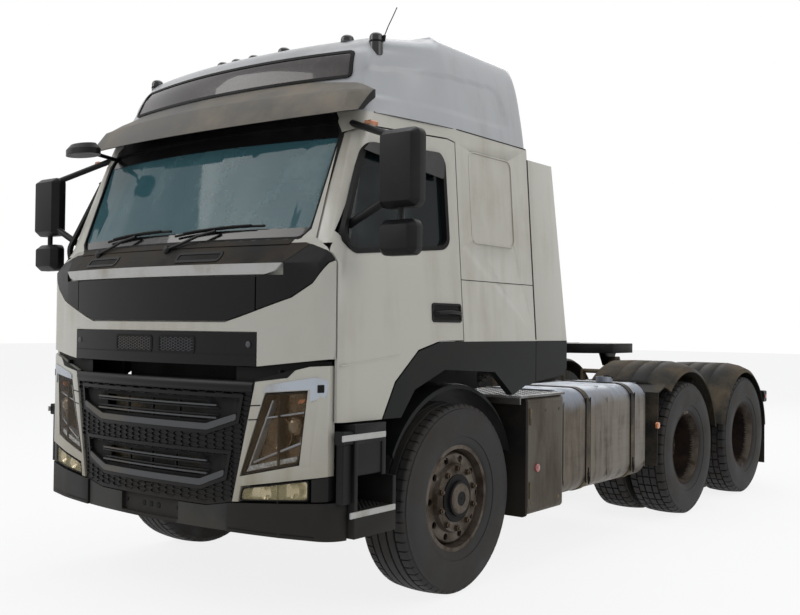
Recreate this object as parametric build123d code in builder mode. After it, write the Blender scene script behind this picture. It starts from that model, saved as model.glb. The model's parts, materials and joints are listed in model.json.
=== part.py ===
# Three-axle semi truck tractor unit with a tilting sleeper cab.
# Millimetres. +Z is up, the truck faces -Y and its left side is +X.
# The origin lies on the ground in the middle of the footprint.
from build123d import *
from math import cos, hypot, radians, sin
import os

os.makedirs("parts", exist_ok=True)

# ---------------------------------------------------------------- driving dimensions
FRONT_AXLE_Y = -2053.0
WHEELBASE = 3200.0
BOGIE_SPACING = 1370.0
REAR_END = 5400.0            # end of the frame, behind the front axle
AXLE_Z = 535.0               # also the tyre's outer radius
TYRE_WIDTH = 314.0
STEER_TRACK_X = 1020.0       # middle of a front tyre
KINGPIN_X = 900.0
TWIN_OUTER_X = 1096.0
TWIN_INNER_X = 746.0
TWIN_MIDDLE_X = (TWIN_OUTER_X + TWIN_INNER_X) / 2

RAIL_OUTER_X = 425.0
RAIL_TOP = 970.0
RAIL_BOTTOM = 670.0
RAIL_WEB = 8.0
RAIL_FLANGE = 90.0

TILT_Y = -1050.0             # cab tilt pivot, behind the front axle
TILT_Z = 850.0

WALL = 60.0                  # cab and door wall
SKIN = 22.0                  # moulded outer panels
SEAM = 8.0                   # gap around doors and lids
CAB_REAR = 700.0
BELT_Z = 1416.0              # cab floor's underside and lower edge of the painted side
ROOF_Z = 2600.0              # seam between cab and high roof


def aft(distance):
    """Y of a point this far behind the front axle."""
    return FRONT_AXLE_Y + distance


def facing_front(distance):
    """Plane across the truck: local x is X, local y is Z, positive extrusion runs forward."""
    return Plane(origin=(0, aft(distance), 0), x_dir=(1, 0, 0), z_dir=(0, -1, 0))


def facing_side(x):
    """Plane along the truck: local x is Y, local y is Z, positive extrusion runs to the left."""
    return Plane(origin=(x, 0, 0), x_dir=(0, 1, 0), z_dir=(1, 0, 0))


def side_points(points):
    """Table of (distance behind the front axle, height) as sketch points."""
    return [(aft(y), z) for y, z in points]


def both_ways(points):
    """Closed outline from the right-hand half of a symmetric one, listed bottom to top."""
    return points + [(-x, z) for x, z in reversed(points)]


def polygon(plane, points):
    with BuildSketch(plane) as sketch:
        with BuildLine():
            Polyline(*points, close=True)
        make_face()
    return sketch.sketch


def rounded(plane, points, radius):
    with BuildSketch(plane) as sketch:
        with BuildLine():
            Polyline(*points, close=True)
        make_face()
        fillet(sketch.vertices(), radius)
    return sketch.sketch


def save(builder, name):
    builder.part.label = name
    export_step(builder.part, f"parts/{name}.step")


# ---------------------------------------------------------------- cab body sections
# height, then the half plan outline: front middle y, screen edge x y, pillar x y,
# corner arc middle x y, corner end x y, half width from the door's rear edge back
CAB_SECTIONS = [
    (450, -1250, 890, -1155, 1070, -1102, 1142, -1057, 1175, -980, 1245),
    (1420, -1250, 890, -1155, 1070, -1102, 1142, -1057, 1175, -980, 1245),
    (1800, -1250, 890, -1155, 1070, -1102, 1141, -1057, 1168, -980, 1219),
    (1930, -1135, 960, -1025, 1060, -1000, 1122, -968, 1148, -905, 1210),
    (2600, -880, 965, -765, 1000, -757, 1040, -735, 1065, -690, 1165),
    (2800, -775, 911, -668, 950, -658, 985, -635, 1005, -590, 1135),
    (2985, -690, 867, -578, 905, -566, 935, -543, 950, -500, 1095),
    (3075, -560, 810, -470, 860, -460, 900, -435, 918, -395, 1060),
    (3110, -390, 700, -330, 760, -320, 800, -300, 825, -260, 1035),
    (3145, -165, 560, -145, 620, -142, 660, -135, 690, -120, 985),
]
SIDE_KNEE = -90.0            # where the side wall starts to taper towards the front


def section_row(z):
    """Outline sizes at any height, between the rows of the table."""
    for low, high in zip(CAB_SECTIONS, CAB_SECTIONS[1:]):
        if low[0] <= z <= high[0]:
            t = (z - low[0]) / (high[0] - low[0])
            return [a + t * (b - a) for a, b in zip(low, high)]
    raise ValueError("height outside the cab")


def cab_outline(z, inset=0.0):
    """Plan of the cab at one height, moved inwards by inset."""
    _, front, x1, y1, x2, y2, x3, y3, x4, y4, half = section_row(z)
    slant = 0.72 * inset
    edge = (x1, aft(y1 + inset))
    pillar = (x2 - 0.25 * inset, aft(y2 + inset))
    corner = (x3 - slant, aft(y3 + slant))
    end = (x4 - inset, aft(y4 + 0.1 * inset))
    knee = (half - inset, aft(SIDE_KNEE))
    rear = (half - inset, aft(CAB_REAR - inset))
    half_outline = [edge, pillar, corner, end, knee, rear]
    left = [(-x, y) for x, y in half_outline]
    with BuildSketch(Plane.XY.offset(z)) as sketch:
        with BuildLine():
            ThreePointArc(left[0], (0, aft(front + inset)), half_outline[0])
            Line(half_outline[0], half_outline[1])
            ThreePointArc(*half_outline[1:4])
            Polyline(*half_outline[3:])
            Line(rear, left[5])
            Polyline(*reversed(left[3:]))
            ThreePointArc(left[3], left[2], left[1])
            Line(left[1], left[0])
        make_face()
    return sketch.sketch


def cab_body(low, high, inset=0.0, mode=Mode.ADD):
    """Solid that fills the cab's outline between two heights."""
    heights = [low] + [row[0] for row in CAB_SECTIONS if low < row[0] < high] + [high]
    loft([cab_outline(z, inset) for z in heights], ruled=True, mode=mode)


def cab_skin(low, high, outer, inner):
    """Layer of the cab wall between two insets."""
    cab_body(low, high, outer)
    cab_body(low, high, inner, mode=Mode.SUBTRACT)


def keep_front(points, depth=420.0):
    """Keep what lies inside a front-view outline, ahead of the door seam."""
    extrude(polygon(facing_front(-1350), points), amount=-depth, mode=Mode.INTERSECT)


def cut_front(points, start=-1350, depth=420.0):
    extrude(polygon(facing_front(start), points), amount=-depth, mode=Mode.SUBTRACT)


# ---------------------------------------------------------------- chassis frame
with BuildPart() as frame_rails:
    with BuildSketch(facing_front(-900)):
        with BuildLine():
            Polyline(
                (RAIL_OUTER_X, RAIL_BOTTOM),
                (RAIL_OUTER_X, RAIL_TOP),
                (RAIL_OUTER_X - RAIL_FLANGE, RAIL_TOP),
                (RAIL_OUTER_X - RAIL_FLANGE, RAIL_TOP - RAIL_WEB),
                (RAIL_OUTER_X - RAIL_WEB, RAIL_TOP - RAIL_WEB),
                (RAIL_OUTER_X - RAIL_WEB, RAIL_BOTTOM + RAIL_WEB),
                (RAIL_OUTER_X - RAIL_FLANGE, RAIL_BOTTOM + RAIL_WEB),
                (RAIL_OUTER_X - RAIL_FLANGE, RAIL_BOTTOM),
                close=True,
            )
        make_face()
    extrude(amount=-(REAR_END - 40 + 900))
    mirror(about=Plane.YZ)
save(frame_rails, "frame_rails")

# distance behind the front axle, web height, web length along the frame
CROSSMEMBERS = [
    (1500, 140, 70),
    (2500, 180, 70),
    (3885, 220, 200),
    (4800, 180, 70),
    (REAR_END - 70, 240, 60),
]
CROSS_HALF = RAIL_OUTER_X - RAIL_WEB
CROSS_PLATE = 10.0


# front cross tube and the brackets outside the rails that carry the cab's tilt pins
PIVOT_PIN_R = 20.0
BRACKET_X = 468.0
ARM_INNER_X = 474.0
ARM_OUTER_X = 524.0
with BuildPart() as tilt_brackets:
    with BuildSketch(facing_side(RAIL_OUTER_X)):
        with BuildLine():
            Polyline(
                *side_points([(-700, 680), (-700, 900), (TILT_Y - 20, TILT_Z + 45), (TILT_Y - 45, TILT_Z),
                              (TILT_Y - 20, TILT_Z - 45)]),
                close=True,
            )
        make_face()
    extrude(amount=BRACKET_X - RAIL_OUTER_X)
    with BuildSketch(facing_side(RAIL_OUTER_X)):
        with Locations((aft(TILT_Y), TILT_Z)):
            Circle(PIVOT_PIN_R)
    extrude(amount=ARM_OUTER_X + 12 - RAIL_OUTER_X)
    mirror(about=Plane.YZ)
    with BuildSketch(facing_side(-CROSS_HALF)):
        with Locations((aft(-855), 770)):
            RectangleRounded(70, 90, 12)
    extrude(amount=2 * CROSS_HALF)

with BuildPart() as crossmembers:
    for y, height, length in CROSSMEMBERS:
        middle = (RAIL_TOP + RAIL_BOTTOM) / 2
        with BuildSketch(facing_side(-CROSS_HALF)):
            with Locations((aft(y), middle)):
                Rectangle(length, height)
            with Locations((aft(y) + CROSS_PLATE, middle)):
                Rectangle(length, height - 2 * CROSS_PLATE, mode=Mode.SUBTRACT)
        extrude(amount=2 * CROSS_HALF)
    add(tilt_brackets.part)
save(crossmembers, "crossmembers")

# ---------------------------------------------------------------- engine, radiator, gearbox
with BuildPart() as engine:
    with BuildSketch(facing_front(-780)):
        with BuildLine():
            Polyline(*both_ways([(180, 520), (300, 640), (330, 900), (330, 1180), (250, 1255)]), close=True)
        make_face()
    extrude(amount=-1130)
    with BuildSketch(facing_front(350)):
        with Locations((0, 790)):
            Circle(250)
    with BuildSketch(facing_front(1250)):
        with Locations((0, 700)):
            Circle(150)
    loft()
    with BuildSketch(facing_front(-1150)):
        with Locations((0, 890)):
            RectangleRounded(830, 560, 20)
    extrude(amount=-90)
    with BuildSketch(facing_front(-1060)):
        with Locations((0, 870)):
            RectangleRounded(620, 440, 60)
    extrude(amount=-100)
save(engine, "engine")


# ---------------------------------------------------------------- front axle
BOSS_R = 36.0
PIN_R = 20.0
with BuildPart() as front_axle:
    beam = [(0, 390), (620, 390), (760, 492), (880, 492), (880, 578), (735, 578), (600, 470), (0, 470)]
    with BuildSketch(facing_front(-45)):
        with BuildLine():
            Polyline(*beam, *[(-x, z) for x, z in reversed(beam[1:-1])], close=True)
        make_face()
    extrude(amount=-90)
    for x in (-KINGPIN_X, KINGPIN_X):
        with BuildSketch(Plane(origin=(x, aft(0), AXLE_Z - 45))):
            Circle(BOSS_R)
        extrude(amount=90)
        with BuildSketch(Plane(origin=(x, aft(0), AXLE_Z - 60))):
            Circle(PIN_R + 0.5)
        extrude(amount=120, mode=Mode.SUBTRACT)
save(front_axle, "front_axle")

FRONT_SPRING_X = 375.0
with BuildPart() as front_springs:
    with BuildSketch(facing_side(FRONT_SPRING_X - 45)):
        with BuildLine():
            ThreePointArc((aft(-800), 628), (aft(0), 470), (aft(800), 628))
            Line((aft(800), 628), (aft(800), 670))
            Line((aft(800), 670), (aft(760), 670))
            ThreePointArc((aft(760), 670), (aft(0), 545), (aft(-760), 670))
            Line((aft(-760), 670), (aft(-800), 670))
            Line((aft(-800), 670), (aft(-800), 628))
        make_face()
    extrude(amount=90)
    mirror(about=Plane.YZ)

# ---------------------------------------------------------------- driven axles and bogie
DRIVE_AXLES = {"first": WHEELBASE, "second": WHEELBASE + BOGIE_SPACING}
with BuildPart() as drive_axles:
    for y in DRIVE_AXLES.values():
        with BuildSketch(facing_side(-604)):
            with Locations((aft(y), AXLE_Z)):
                Circle(68)
        extrude(amount=1208)
        with BuildSketch(facing_front(y - 150)):
            with Locations((0, AXLE_Z)):
                Circle(205)
        extrude(amount=-290, taper=8)
        with BuildSketch(facing_front(y - 400)):
            with Locations((0, AXLE_Z + 20)):
                Circle(75)
        with BuildSketch(facing_front(y - 120)):
            with Locations((0, AXLE_Z)):
                Circle(150)
        loft()
    shaft_runs = [
        ((0, aft(1260), 700), (0, aft(WHEELBASE - 395), AXLE_Z + 20), 55),
        ((0, aft(WHEELBASE + 100), AXLE_Z + 15), (0, aft(WHEELBASE + BOGIE_SPACING - 395), AXLE_Z + 20), 45),
    ]
    for start, end, radius in shaft_runs:
        run = Vector(*end) - Vector(*start)
        with BuildSketch(Plane(origin=start, z_dir=run)):
            Circle(radius)
        extrude(amount=run.length)
save(drive_axles, "drive_axles")

BOGIE_Y = WHEELBASE + BOGIE_SPACING / 2
with BuildPart() as leaf_springs:
    with BuildSketch(facing_side(458)):
        with BuildLine():
            ThreePointArc((aft(3060), 610), (aft(BOGIE_Y), 590), (aft(4710), 610))
            Line((aft(4710), 610), (aft(4710), 650))
            ThreePointArc((aft(4710), 650), (aft(BOGIE_Y), 760), (aft(3060), 650))
            Line((aft(3060), 650), (aft(3060), 610))
        make_face()
    extrude(amount=88)
    with BuildSketch(facing_side(RAIL_OUTER_X)):
        with BuildLine():
            Polyline(*side_points([(3700, 840), (4070, 840), (4000, 470), (3770, 470)]), close=True)
        make_face()
    extrude(amount=33)
    with BuildSketch(facing_side(RAIL_OUTER_X)):
        with Locations((aft(BOGIE_Y), 520)):
            Circle(85)
    extrude(amount=130)
    mirror(about=Plane.YZ)
    add(front_springs.part)
save(leaf_springs, "leaf_springs")


# ---------------------------------------------------------------- wheels
TYRE_R = AXLE_Z
RIM_SEAT_R = 286.0
FLANGE_R = 298.5
FLANGE_X = 127.0
HALF_WIDTH = TYRE_WIDTH / 2


def wheel_plane(x, y):
    """Half section of a wheel: local x runs along the axle, local y is the radius."""
    return Plane(origin=(x, aft(y), AXLE_Z), x_dir=(1, 0, 0), z_dir=(0, -1, 0))


def axle_line(y):
    return Axis((0, aft(y), AXLE_Z), (1, 0, 0))


def tyre_ring(x, y):
    """One tyre, turned from its half section."""
    with BuildSketch(wheel_plane(x, y)) as half:
        with BuildLine():
            Polyline((-FLANGE_X + 10, RIM_SEAT_R), (FLANGE_X - 10, RIM_SEAT_R), (FLANGE_X - 10, FLANGE_R + 1))
            ThreePointArc((FLANGE_X - 10, FLANGE_R + 1), (HALF_WIDTH, 425), (HALF_WIDTH - 10, 500))
            ThreePointArc((HALF_WIDTH - 10, 500), (HALF_WIDTH - 17, 520), (HALF_WIDTH - 32, 529))
            ThreePointArc((HALF_WIDTH - 32, 529), (0, TYRE_R), (-HALF_WIDTH + 32, 529))
            ThreePointArc((-HALF_WIDTH + 32, 529), (-HALF_WIDTH + 17, 520), (-HALF_WIDTH + 10, 500))
            ThreePointArc((-HALF_WIDTH + 10, 500), (-HALF_WIDTH, 425), (-FLANGE_X + 10, FLANGE_R + 1))
            Line((-FLANGE_X + 10, FLANGE_R + 1), (-FLANGE_X + 10, RIM_SEAT_R))
        make_face()
    revolve(half.sketch, axis=axle_line(y))


def turned(x, y, points, mirrored):
    """Solid of revolution about the axle from (outboard distance, radius) points."""
    side = -1 if mirrored else 1
    profile = polygon(wheel_plane(x, y), [(side * a, r) for a, r in points])
    revolve(profile, axis=axle_line(y))


HAND_HOLES = 10
BARREL = [(-FLANGE_X, FLANGE_R), (-FLANGE_X + 10, FLANGE_R), (-FLANGE_X + 10, RIM_SEAT_R), (-60, 270),
          (60, 270), (FLANGE_X - 10, RIM_SEAT_R), (FLANGE_X - 10, FLANGE_R), (FLANGE_X, FLANGE_R),
          (FLANGE_X, 276), (60, 260), (-60, 260), (-FLANGE_X, 276)]
FRONT_DISC = [(28, 265), (44, 265), (92, 252), (98, 245), (98, 196), (124, 186), (124, 80), (110, 80),
              (110, 178), (84, 190), (84, 246), (78, 252)]
FRONT_HUB = [(-62, 205), (60, 205), (60, 190), (112, 100), (140, 95), (158, 80), (158, 40), (40, 40),
             (40, 36), (-62, 36)]
TWIN_DISC_OUT = [(-60, 265), (-30, 265), (-104, 246), (-116, 240), (-116, 190), (-160, 184), (-160, 110),
                 (-174, 110), (-174, 196), (-130, 202), (-130, 250), (-118, 256)]
TWIN_DISC_IN = [(60, 265), (30, 265), (104, 246), (118, 240), (118, 190), (162, 184), (162, 110),
                (175, 110), (175, 196), (132, 202), (132, 250), (118, 256)]
DRIVE_HUB = [(-290, 205), (-40, 205), (-30, 140), (150, 135), (165, 110), (165, 0), (-290, 0)]


def hand_holes(x, y, mirrored, start, reach, ring, radius):
    """Ring of holes through a wheel disc."""
    side = -1 if mirrored else 1
    with BuildSketch(facing_side(x + side * start)) as holes:
        with Locations((aft(y), AXLE_Z)):
            with PolarLocations(ring, HAND_HOLES):
                Circle(radius)
    extrude(holes.sketch, amount=side * reach, mode=Mode.SUBTRACT)


SIDES = {"left": False, "right": True}
for side, mirrored in SIDES.items():
    x = -STEER_TRACK_X if mirrored else STEER_TRACK_X
    with BuildPart() as front_tyre:
        tyre_ring(x, 0)
    save(front_tyre, f"front_tyre_{side}")
    with BuildPart() as front_rim:
        turned(x, 0, BARREL, mirrored)
        turned(x, 0, FRONT_DISC, mirrored)
        hand_holes(x, 0, mirrored, 74, 34, 221, 20)
        turned(x, 0, FRONT_HUB, mirrored)
    save(front_rim, f"front_rim_{side}")

for axle, y in DRIVE_AXLES.items():
    for side, mirrored in SIDES.items():
        sign = -1 if mirrored else 1
        with BuildPart() as drive_tyres:
            for x in (sign * TWIN_OUTER_X, sign * TWIN_INNER_X):
                tyre_ring(x, y)
        save(drive_tyres, f"{axle}_drive_tyres_{side}")
        with BuildPart() as drive_rims:
            turned(sign * TWIN_OUTER_X, y, BARREL, mirrored)
            turned(sign * TWIN_OUTER_X, y, TWIN_DISC_OUT, mirrored)
            turned(sign * TWIN_INNER_X, y, BARREL, mirrored)
            turned(sign * TWIN_INNER_X, y, TWIN_DISC_IN, mirrored)
            hand_holes(sign * TWIN_OUTER_X, y, mirrored, -140, 34, 221, 17)
            turned(sign * TWIN_MIDDLE_X, y, DRIVE_HUB, mirrored)
        save(drive_rims, f"{axle}_drive_rims_{side}")

# steering knuckles: fork over the beam end, kingpin, backing plate and spindle
PLATE_X = 944.0
for side, mirrored in SIDES.items():
    sign = -1 if mirrored else 1
    with BuildPart() as knuckle:
        for z in (AXLE_Z - 85, AXLE_Z + 46):
            with BuildSketch(Plane(origin=(sign * KINGPIN_X, aft(0), z))):
                Circle(BOSS_R)
                with Locations((sign * 25, 0)):
                    Rectangle(50, 2 * BOSS_R)
            extrude(amount=39)
        with BuildSketch(Plane(origin=(sign * KINGPIN_X, aft(0), AXLE_Z - 85))):
            Circle(PIN_R)
        extrude(amount=170)
        with BuildSketch(facing_side(sign * PLATE_X)):
            with Locations((aft(0), AXLE_Z)):
                Circle(190)
        extrude(amount=sign * 8)
        with BuildSketch(facing_side(sign * PLATE_X)):
            with Locations((aft(0), AXLE_Z)):
                Circle(31)
        extrude(amount=sign * 130)
    save(knuckle, f"knuckle_{side}")

# ---------------------------------------------------------------- bumper, grille, corners, lamps
BUMPER_LOW = 462.0
# upper edge of the bumper, from its end to the middle of the truck
BUMPER_CREST = [(1300, 656), (1130, 645), (606, 607), (430, 576)]
CENTRE_HALF = 575.0          # middle section between the two grooves
GROOVE = 6.0
TOW_STEP = [(235, 482), (235, 590)]
with BuildPart() as bumper_recess:
    cab_skin(BUMPER_LOW - 5, 612, -6, 12)
    keep_front(both_ways([(CENTRE_HALF, BUMPER_LOW - 5), (CENTRE_HALF, 612)]))

with BuildPart() as tow_recess:
    cab_skin(480, 592, 6, 34)
    keep_front(both_ways(TOW_STEP))

with BuildPart() as front_bumper:
    cab_skin(BUMPER_LOW, 656, 0, 90)
    keep_front(both_ways([(1300, BUMPER_LOW - 5)] + BUMPER_CREST))
    with Locations((0, aft(-1125), 560)):
        Box(2600, 290, 300, mode=Mode.INTERSECT)
    add(bumper_recess.part, mode=Mode.SUBTRACT)
    add(tow_recess.part, mode=Mode.SUBTRACT)
    for x in (-CENTRE_HALF, CENTRE_HALF):
        with Locations((x, aft(-1180), 540)):
            Box(GROOVE, 90, 300, mode=Mode.SUBTRACT)
    for x in (-60, 0, 60):
        cut_front([(x - 12, 520), (x + 12, 520), (x + 12, 544), (x - 12, 544)])

# front-view half outlines: (half width, height), listed bottom to top
GRILLE = [(440, 581), (610, 612), (737, 1215)]
GRILLE_ROLL = [(724, 1160), (737, 1215)]
# the two recessed inserts: outline, height of the middle of the louvre, its cell width
INSERTS = [
    ([(400, 668), (560, 728), (585, 852)], 770, 178),
    ([(440, 952), (632, 1012), (656, 1136)], 1054, 200),
]
LOUVRE_PITCH = 34.0
CELL_HEIGHT = 26.0
POST = 12.0
SLAT_HEIGHT = 8.0
SMILE_HEIGHT = 36.0


def smile(outline):
    """Bright bar along an insert's lower edge, rising towards its ends."""
    (x0, z0), (x1, z1), _ = outline
    lower = [(x0 - 2, z0 + 6), (x1 - 4, z1 + 6)]
    upper = [(x1 - 2, z1 + 6 + SMILE_HEIGHT), (x0 - 8, z0 + 6 + SMILE_HEIGHT)]
    return [(-x, z) for x, z in lower[::-1]] + lower + upper + [(-x, z) for x, z in upper[::-1]]


with BuildPart() as insert_panels:
    cab_skin(600, 1160, 30, 42)
    with BuildSketch(facing_front(-1350)) as insert_faces:
        for outline, middle, cell in INSERTS:
            with BuildLine():
                Polyline(*both_ways(outline), close=True)
            make_face()
        for outline, middle, cell in INSERTS:
            with Locations((0, middle)):
                with GridLocations(cell + POST, LOUVRE_PITCH, 4, 3):
                    Rectangle(cell, CELL_HEIGHT, mode=Mode.SUBTRACT)
    extrude(insert_faces.sketch, amount=-420, mode=Mode.INTERSECT)

with BuildPart() as louvre_slats:
    cab_skin(740, 1100, 20, 34)
    with BuildSketch(facing_front(-1350)) as slat_faces:
        for outline, middle, cell in INSERTS:
            with Locations((0, middle)):
                with GridLocations(1, LOUVRE_PITCH, 1, 2):
                    Rectangle(5 * cell, SLAT_HEIGHT)
    extrude(slat_faces.sketch, amount=-420, mode=Mode.INTERSECT)

with BuildPart() as smile_bars:
    cab_skin(640, 1100, 6, 34)
    with BuildSketch(facing_front(-1350)) as smile_faces:
        for outline, middle, cell in INSERTS:
            with BuildLine():
                Polyline(*smile(outline), close=True)
            make_face()
    extrude(smile_faces.sketch, amount=-420, mode=Mode.INTERSECT)

with BuildPart() as lower_grille:
    cab_skin(581, 1215, 14, 58)
    keep_front(both_ways(GRILLE))
    for outline, middle, cell in INSERTS:
        cut_front(both_ways(outline))
    add(insert_panels.part)
    add(louvre_slats.part)
    add(smile_bars.part)

with BuildPart() as grille_roll:
    cab_skin(1160, 1215, 2, 40)
    keep_front(both_ways(GRILLE_ROLL))

with BuildPart() as lower_grille_whole:
    add(lower_grille.part)
    add(grille_roll.part)
save(lower_grille_whole, "lower_grille")

CORNER_EDGE_X = 1128.0
# front-view outlines, right half of a symmetric pair
HEADLAMP = [(655, 742), (1035, 830), (1078, 1186), (800, 1162)]
FOG_LAMP = [(652, 619), (1042, 647), (1042, 756), (668, 691)]
FOG_RECESS = [(646, 600), (1140, 600), (1140, 775), (664, 695)]
CORNER_BLOCK = [(1050, 646), (1126, 652), (1126, 770), (1050, 756)]
CORNER = [(612, 614), (CORNER_EDGE_X, 652), (CORNER_EDGE_X, 1302), (1040, 1296), (745, 1222)]


def keep_pair(points):
    """Keep two mirrored front-view outlines."""
    with BuildSketch(facing_front(-1350)) as pair:
        with BuildLine():
            Polyline(*points, close=True)
        make_face()
        with BuildLine():
            Polyline(*[(-x, z) for x, z in points], close=True)
        make_face()
    extrude(pair.sketch, amount=-420, mode=Mode.INTERSECT)


def cut_pair(points):
    for sign in (-1, 1):
        cut_front([(sign * x, z) for x, z in points])


def shrink(points, gap):
    """Same outline with its corners moved towards the middle by about gap."""
    cx = sum(x for x, _ in points) / len(points)
    cz = sum(z for _, z in points) / len(points)
    moved = []
    for x, z in points:
        reach = hypot(x - cx, z - cz)
        moved.append((x + (cx - x) * gap / reach, z + (cz - z) * gap / reach))
    return moved


with BuildPart() as corner_panels:
    cab_skin(612, 1302, 0, 30)
    keep_pair(CORNER)
    cut_pair(HEADLAMP)
    cut_pair(FOG_RECESS)
    with Locations((0, aft(-1200), 950)):
        Box(2600, 372, 1000, mode=Mode.INTERSECT)
save(corner_panels, "corner_panels")

with BuildPart() as corner_blocks:
    cab_skin(640, 780, 6, 60)
    keep_pair(CORNER_BLOCK)
    with Locations((0, aft(-1130), 700)):
        Box(2600, 290, 300, mode=Mode.INTERSECT)

with BuildPart() as bumper_whole:
    add(front_bumper.part)
    add(corner_blocks.part)
save(bumper_whole, "front_bumper")

with BuildPart() as fog_lamps:
    cab_skin(612, 800, 5, 60)
    keep_pair(shrink(FOG_LAMP, 3))

with BuildPart() as front_lamps:
    cab_skin(612, 1302, 5, 75)
    keep_pair(shrink(HEADLAMP, 6))
    add(fog_lamps.part)
save(front_lamps, "front_lamps")

STEP_FRONT = -975.0
STEP_REAR = -650.0
STEP_OUTER_X = 1215.0
STEP_INNER_X = 800.0
UPPER_REAR = -735.0
with BuildPart() as step_boxes:
    with BuildSketch(facing_side(STEP_INNER_X)):
        with BuildLine():
            Polyline(*side_points([(STEP_FRONT, 470), (STEP_REAR, 470), (STEP_REAR, 745), (UPPER_REAR, 745),
                                   (UPPER_REAR, 1020), (STEP_FRONT, 1020)]), close=True)
        make_face()
    extrude(amount=STEP_OUTER_X - STEP_INNER_X)
    with BuildSketch(facing_side(STEP_INNER_X + 110)):
        with BuildLine():
            Polyline(*side_points([(STEP_FRONT + 25, 600), (STEP_REAR - 25, 600), (STEP_REAR - 25, 760),
                                   (UPPER_REAR - 30, 760), (UPPER_REAR - 30, 925), (STEP_FRONT + 25, 925)]),
                     close=True)
        make_face()
    extrude(amount=400, mode=Mode.SUBTRACT)
    mirror(about=Plane.YZ)
save(step_boxes, "step_boxes")

# ---------------------------------------------------------------- tanks and boxes on the frame sides
TANK_INNER_X = 560.0
TANK_OUTER_X = 1222.0


def rounded_prism(x0, x1, z0, z1, y0, y1, radius):
    """Long box with rounded edges that run along the truck."""
    with BuildSketch(facing_front(y0)) as end:
        with Locations(((x0 + x1) / 2, (z0 + z1) / 2)):
            RectangleRounded(abs(x1 - x0), z1 - z0, radius)
    extrude(end.sketch, amount=-(y1 - y0))


TANK_TOP = 1092.0
FILLERS = [(960, 2235), (-960, 2235)]
FILLER_R = 62.0
FILLER_HEIGHT = 42.0
with BuildPart() as fuel_tanks:
    rounded_prism(TANK_INNER_X, TANK_OUTER_X, 400, 1092, 1108, 2390, 125)
    rounded_prism(-TANK_OUTER_X, -TANK_INNER_X, 400, 1092, 1560, 2390, 125)
    for x, y in FILLERS:
        with Locations((x, aft(y), TANK_TOP)):
            Cylinder(FILLER_R, FILLER_HEIGHT, align=(Align.CENTER, Align.CENTER, Align.MIN))
save(fuel_tanks, "fuel_tanks")

# battery box on the left, exhaust silencer on the right
with BuildPart() as side_boxes:
    rounded_prism(620, 1222, 350, 1068, 640, 1096, 30)
    rounded_prism(-1215, -600, 400, 1020, 700, 1440, 60)
save(side_boxes, "side_boxes")

# side carriers: (distance behind the front axle, side)
CARRIERS = [(860, 1), (1450, 1), (2160, 1), (1070, -1), (1700, -1), (2220, -1)]
STRAP_T = 6.0
STRAP_HALF = 32.0
with BuildPart() as tank_straps:
    for y, sign in CARRIERS[1:3] + CARRIERS[4:]:
        ends = sorted((sign * TANK_INNER_X, sign * TANK_OUTER_X))
        rounded_prism(ends[0] - STRAP_T, ends[1] + STRAP_T, 400 - STRAP_T, TANK_TOP + STRAP_T,
                      y - STRAP_HALF, y + STRAP_HALF, 125 + STRAP_T)
    add(fuel_tanks.part, mode=Mode.SUBTRACT)

with BuildPart() as tank_brackets:
    for y, sign in CARRIERS:
        low = 340 if (y, sign) == (860, 1) else 390
        with BuildSketch(facing_front(y - 30)):
            with BuildLine():
                Polyline((sign * RAIL_OUTER_X, 960), (sign * (TANK_INNER_X - 20), 960),
                         (sign * (TANK_INNER_X - 20), low), (sign * 1040, low), (sign * 1040, low - 12),
                         (sign * 520, low - 50), (sign * RAIL_OUTER_X, 670), close=True)
            make_face()
        extrude(amount=-60)
    add(tank_straps.part)
save(tank_brackets, "tank_brackets")

# ---------------------------------------------------------------- mudguards, flaps, tail
GUARD_T = 8.0
GUARD_X0 = 575.0
GUARD_X1 = 1258.0
GUARD_TUBE_X = 430.0
GUARD_TUBE_R = 18.0
RIB_XS = [790.0, 925.0, 1060.0]
RIB_DEPTH = 7.0
# distance behind the front axle, radius of the top, first and last angle of the arc,
# angles of its carrying tubes
GUARDS = [(WHEELBASE, 700, 130, 12, (115, 52)), (WHEELBASE + BOGIE_SPACING, 655, 167, 5, (127, 30))]


def guard_profile(top):
    """Half section of a mudguard: arched, with three ribs and an outer edge rolled down over the tyre."""
    outer = [(GUARD_X0, top - 26), (610, top - 6)]
    for x in RIB_XS:
        outer += [(x - 12, top), (x - 6, top - RIB_DEPTH), (x + 6, top - RIB_DEPTH), (x + 12, top)]
    outer += [(1165, top - 18), (1235, top - 48), (GUARD_X1, top - 82)]
    inner = [(GUARD_X1 - GUARD_T, top - 86), (1228, top - 57), (1162, top - 27), (1080, top - 16),
             (610, top - 16), (GUARD_X0, top - 34)]
    return outer + inner


# sheet that carries the first mudguard down to a flap ahead of the tyre: (behind the front axle, height)
FRONT_FLAP = [(2760, 1064), (2612, 1010), (2594, 450), (2602, 450), (2620, 1003), (2764, 1055)]
FLAP_Z = 210.0
FLAP_HALF = 310.0
FLAP_X = 920.0
with BuildPart() as mudguards:
    for y, top, first, last, tubes in GUARDS:
        hub = Vector(0, aft(y), AXLE_Z)
        start = Plane(origin=hub, x_dir=(1, 0, 0), z_dir=(0, sin(radians(first)), -cos(radians(first))))
        profile = polygon(start, [(x, -r) for x, r in guard_profile(top)])
        revolve(profile, axis=Axis(hub, (-1, 0, 0)), revolution_arc=first - last)
        for angle in tubes:
            reach = top - 12 - GUARD_TUBE_R
            with BuildSketch(facing_side(GUARD_TUBE_X)) as tube:
                with Locations((hub.Y + reach * cos(radians(angle)), hub.Z + reach * sin(radians(angle)))):
                    Circle(GUARD_TUBE_R)
            extrude(tube.sketch, amount=1120 - GUARD_TUBE_X)
    extrude(polygon(facing_side(FLAP_X - FLAP_HALF), side_points(FRONT_FLAP)), amount=2 * FLAP_HALF)
    mirror(about=Plane.YZ)
save(mudguards, "mudguards")

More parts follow.
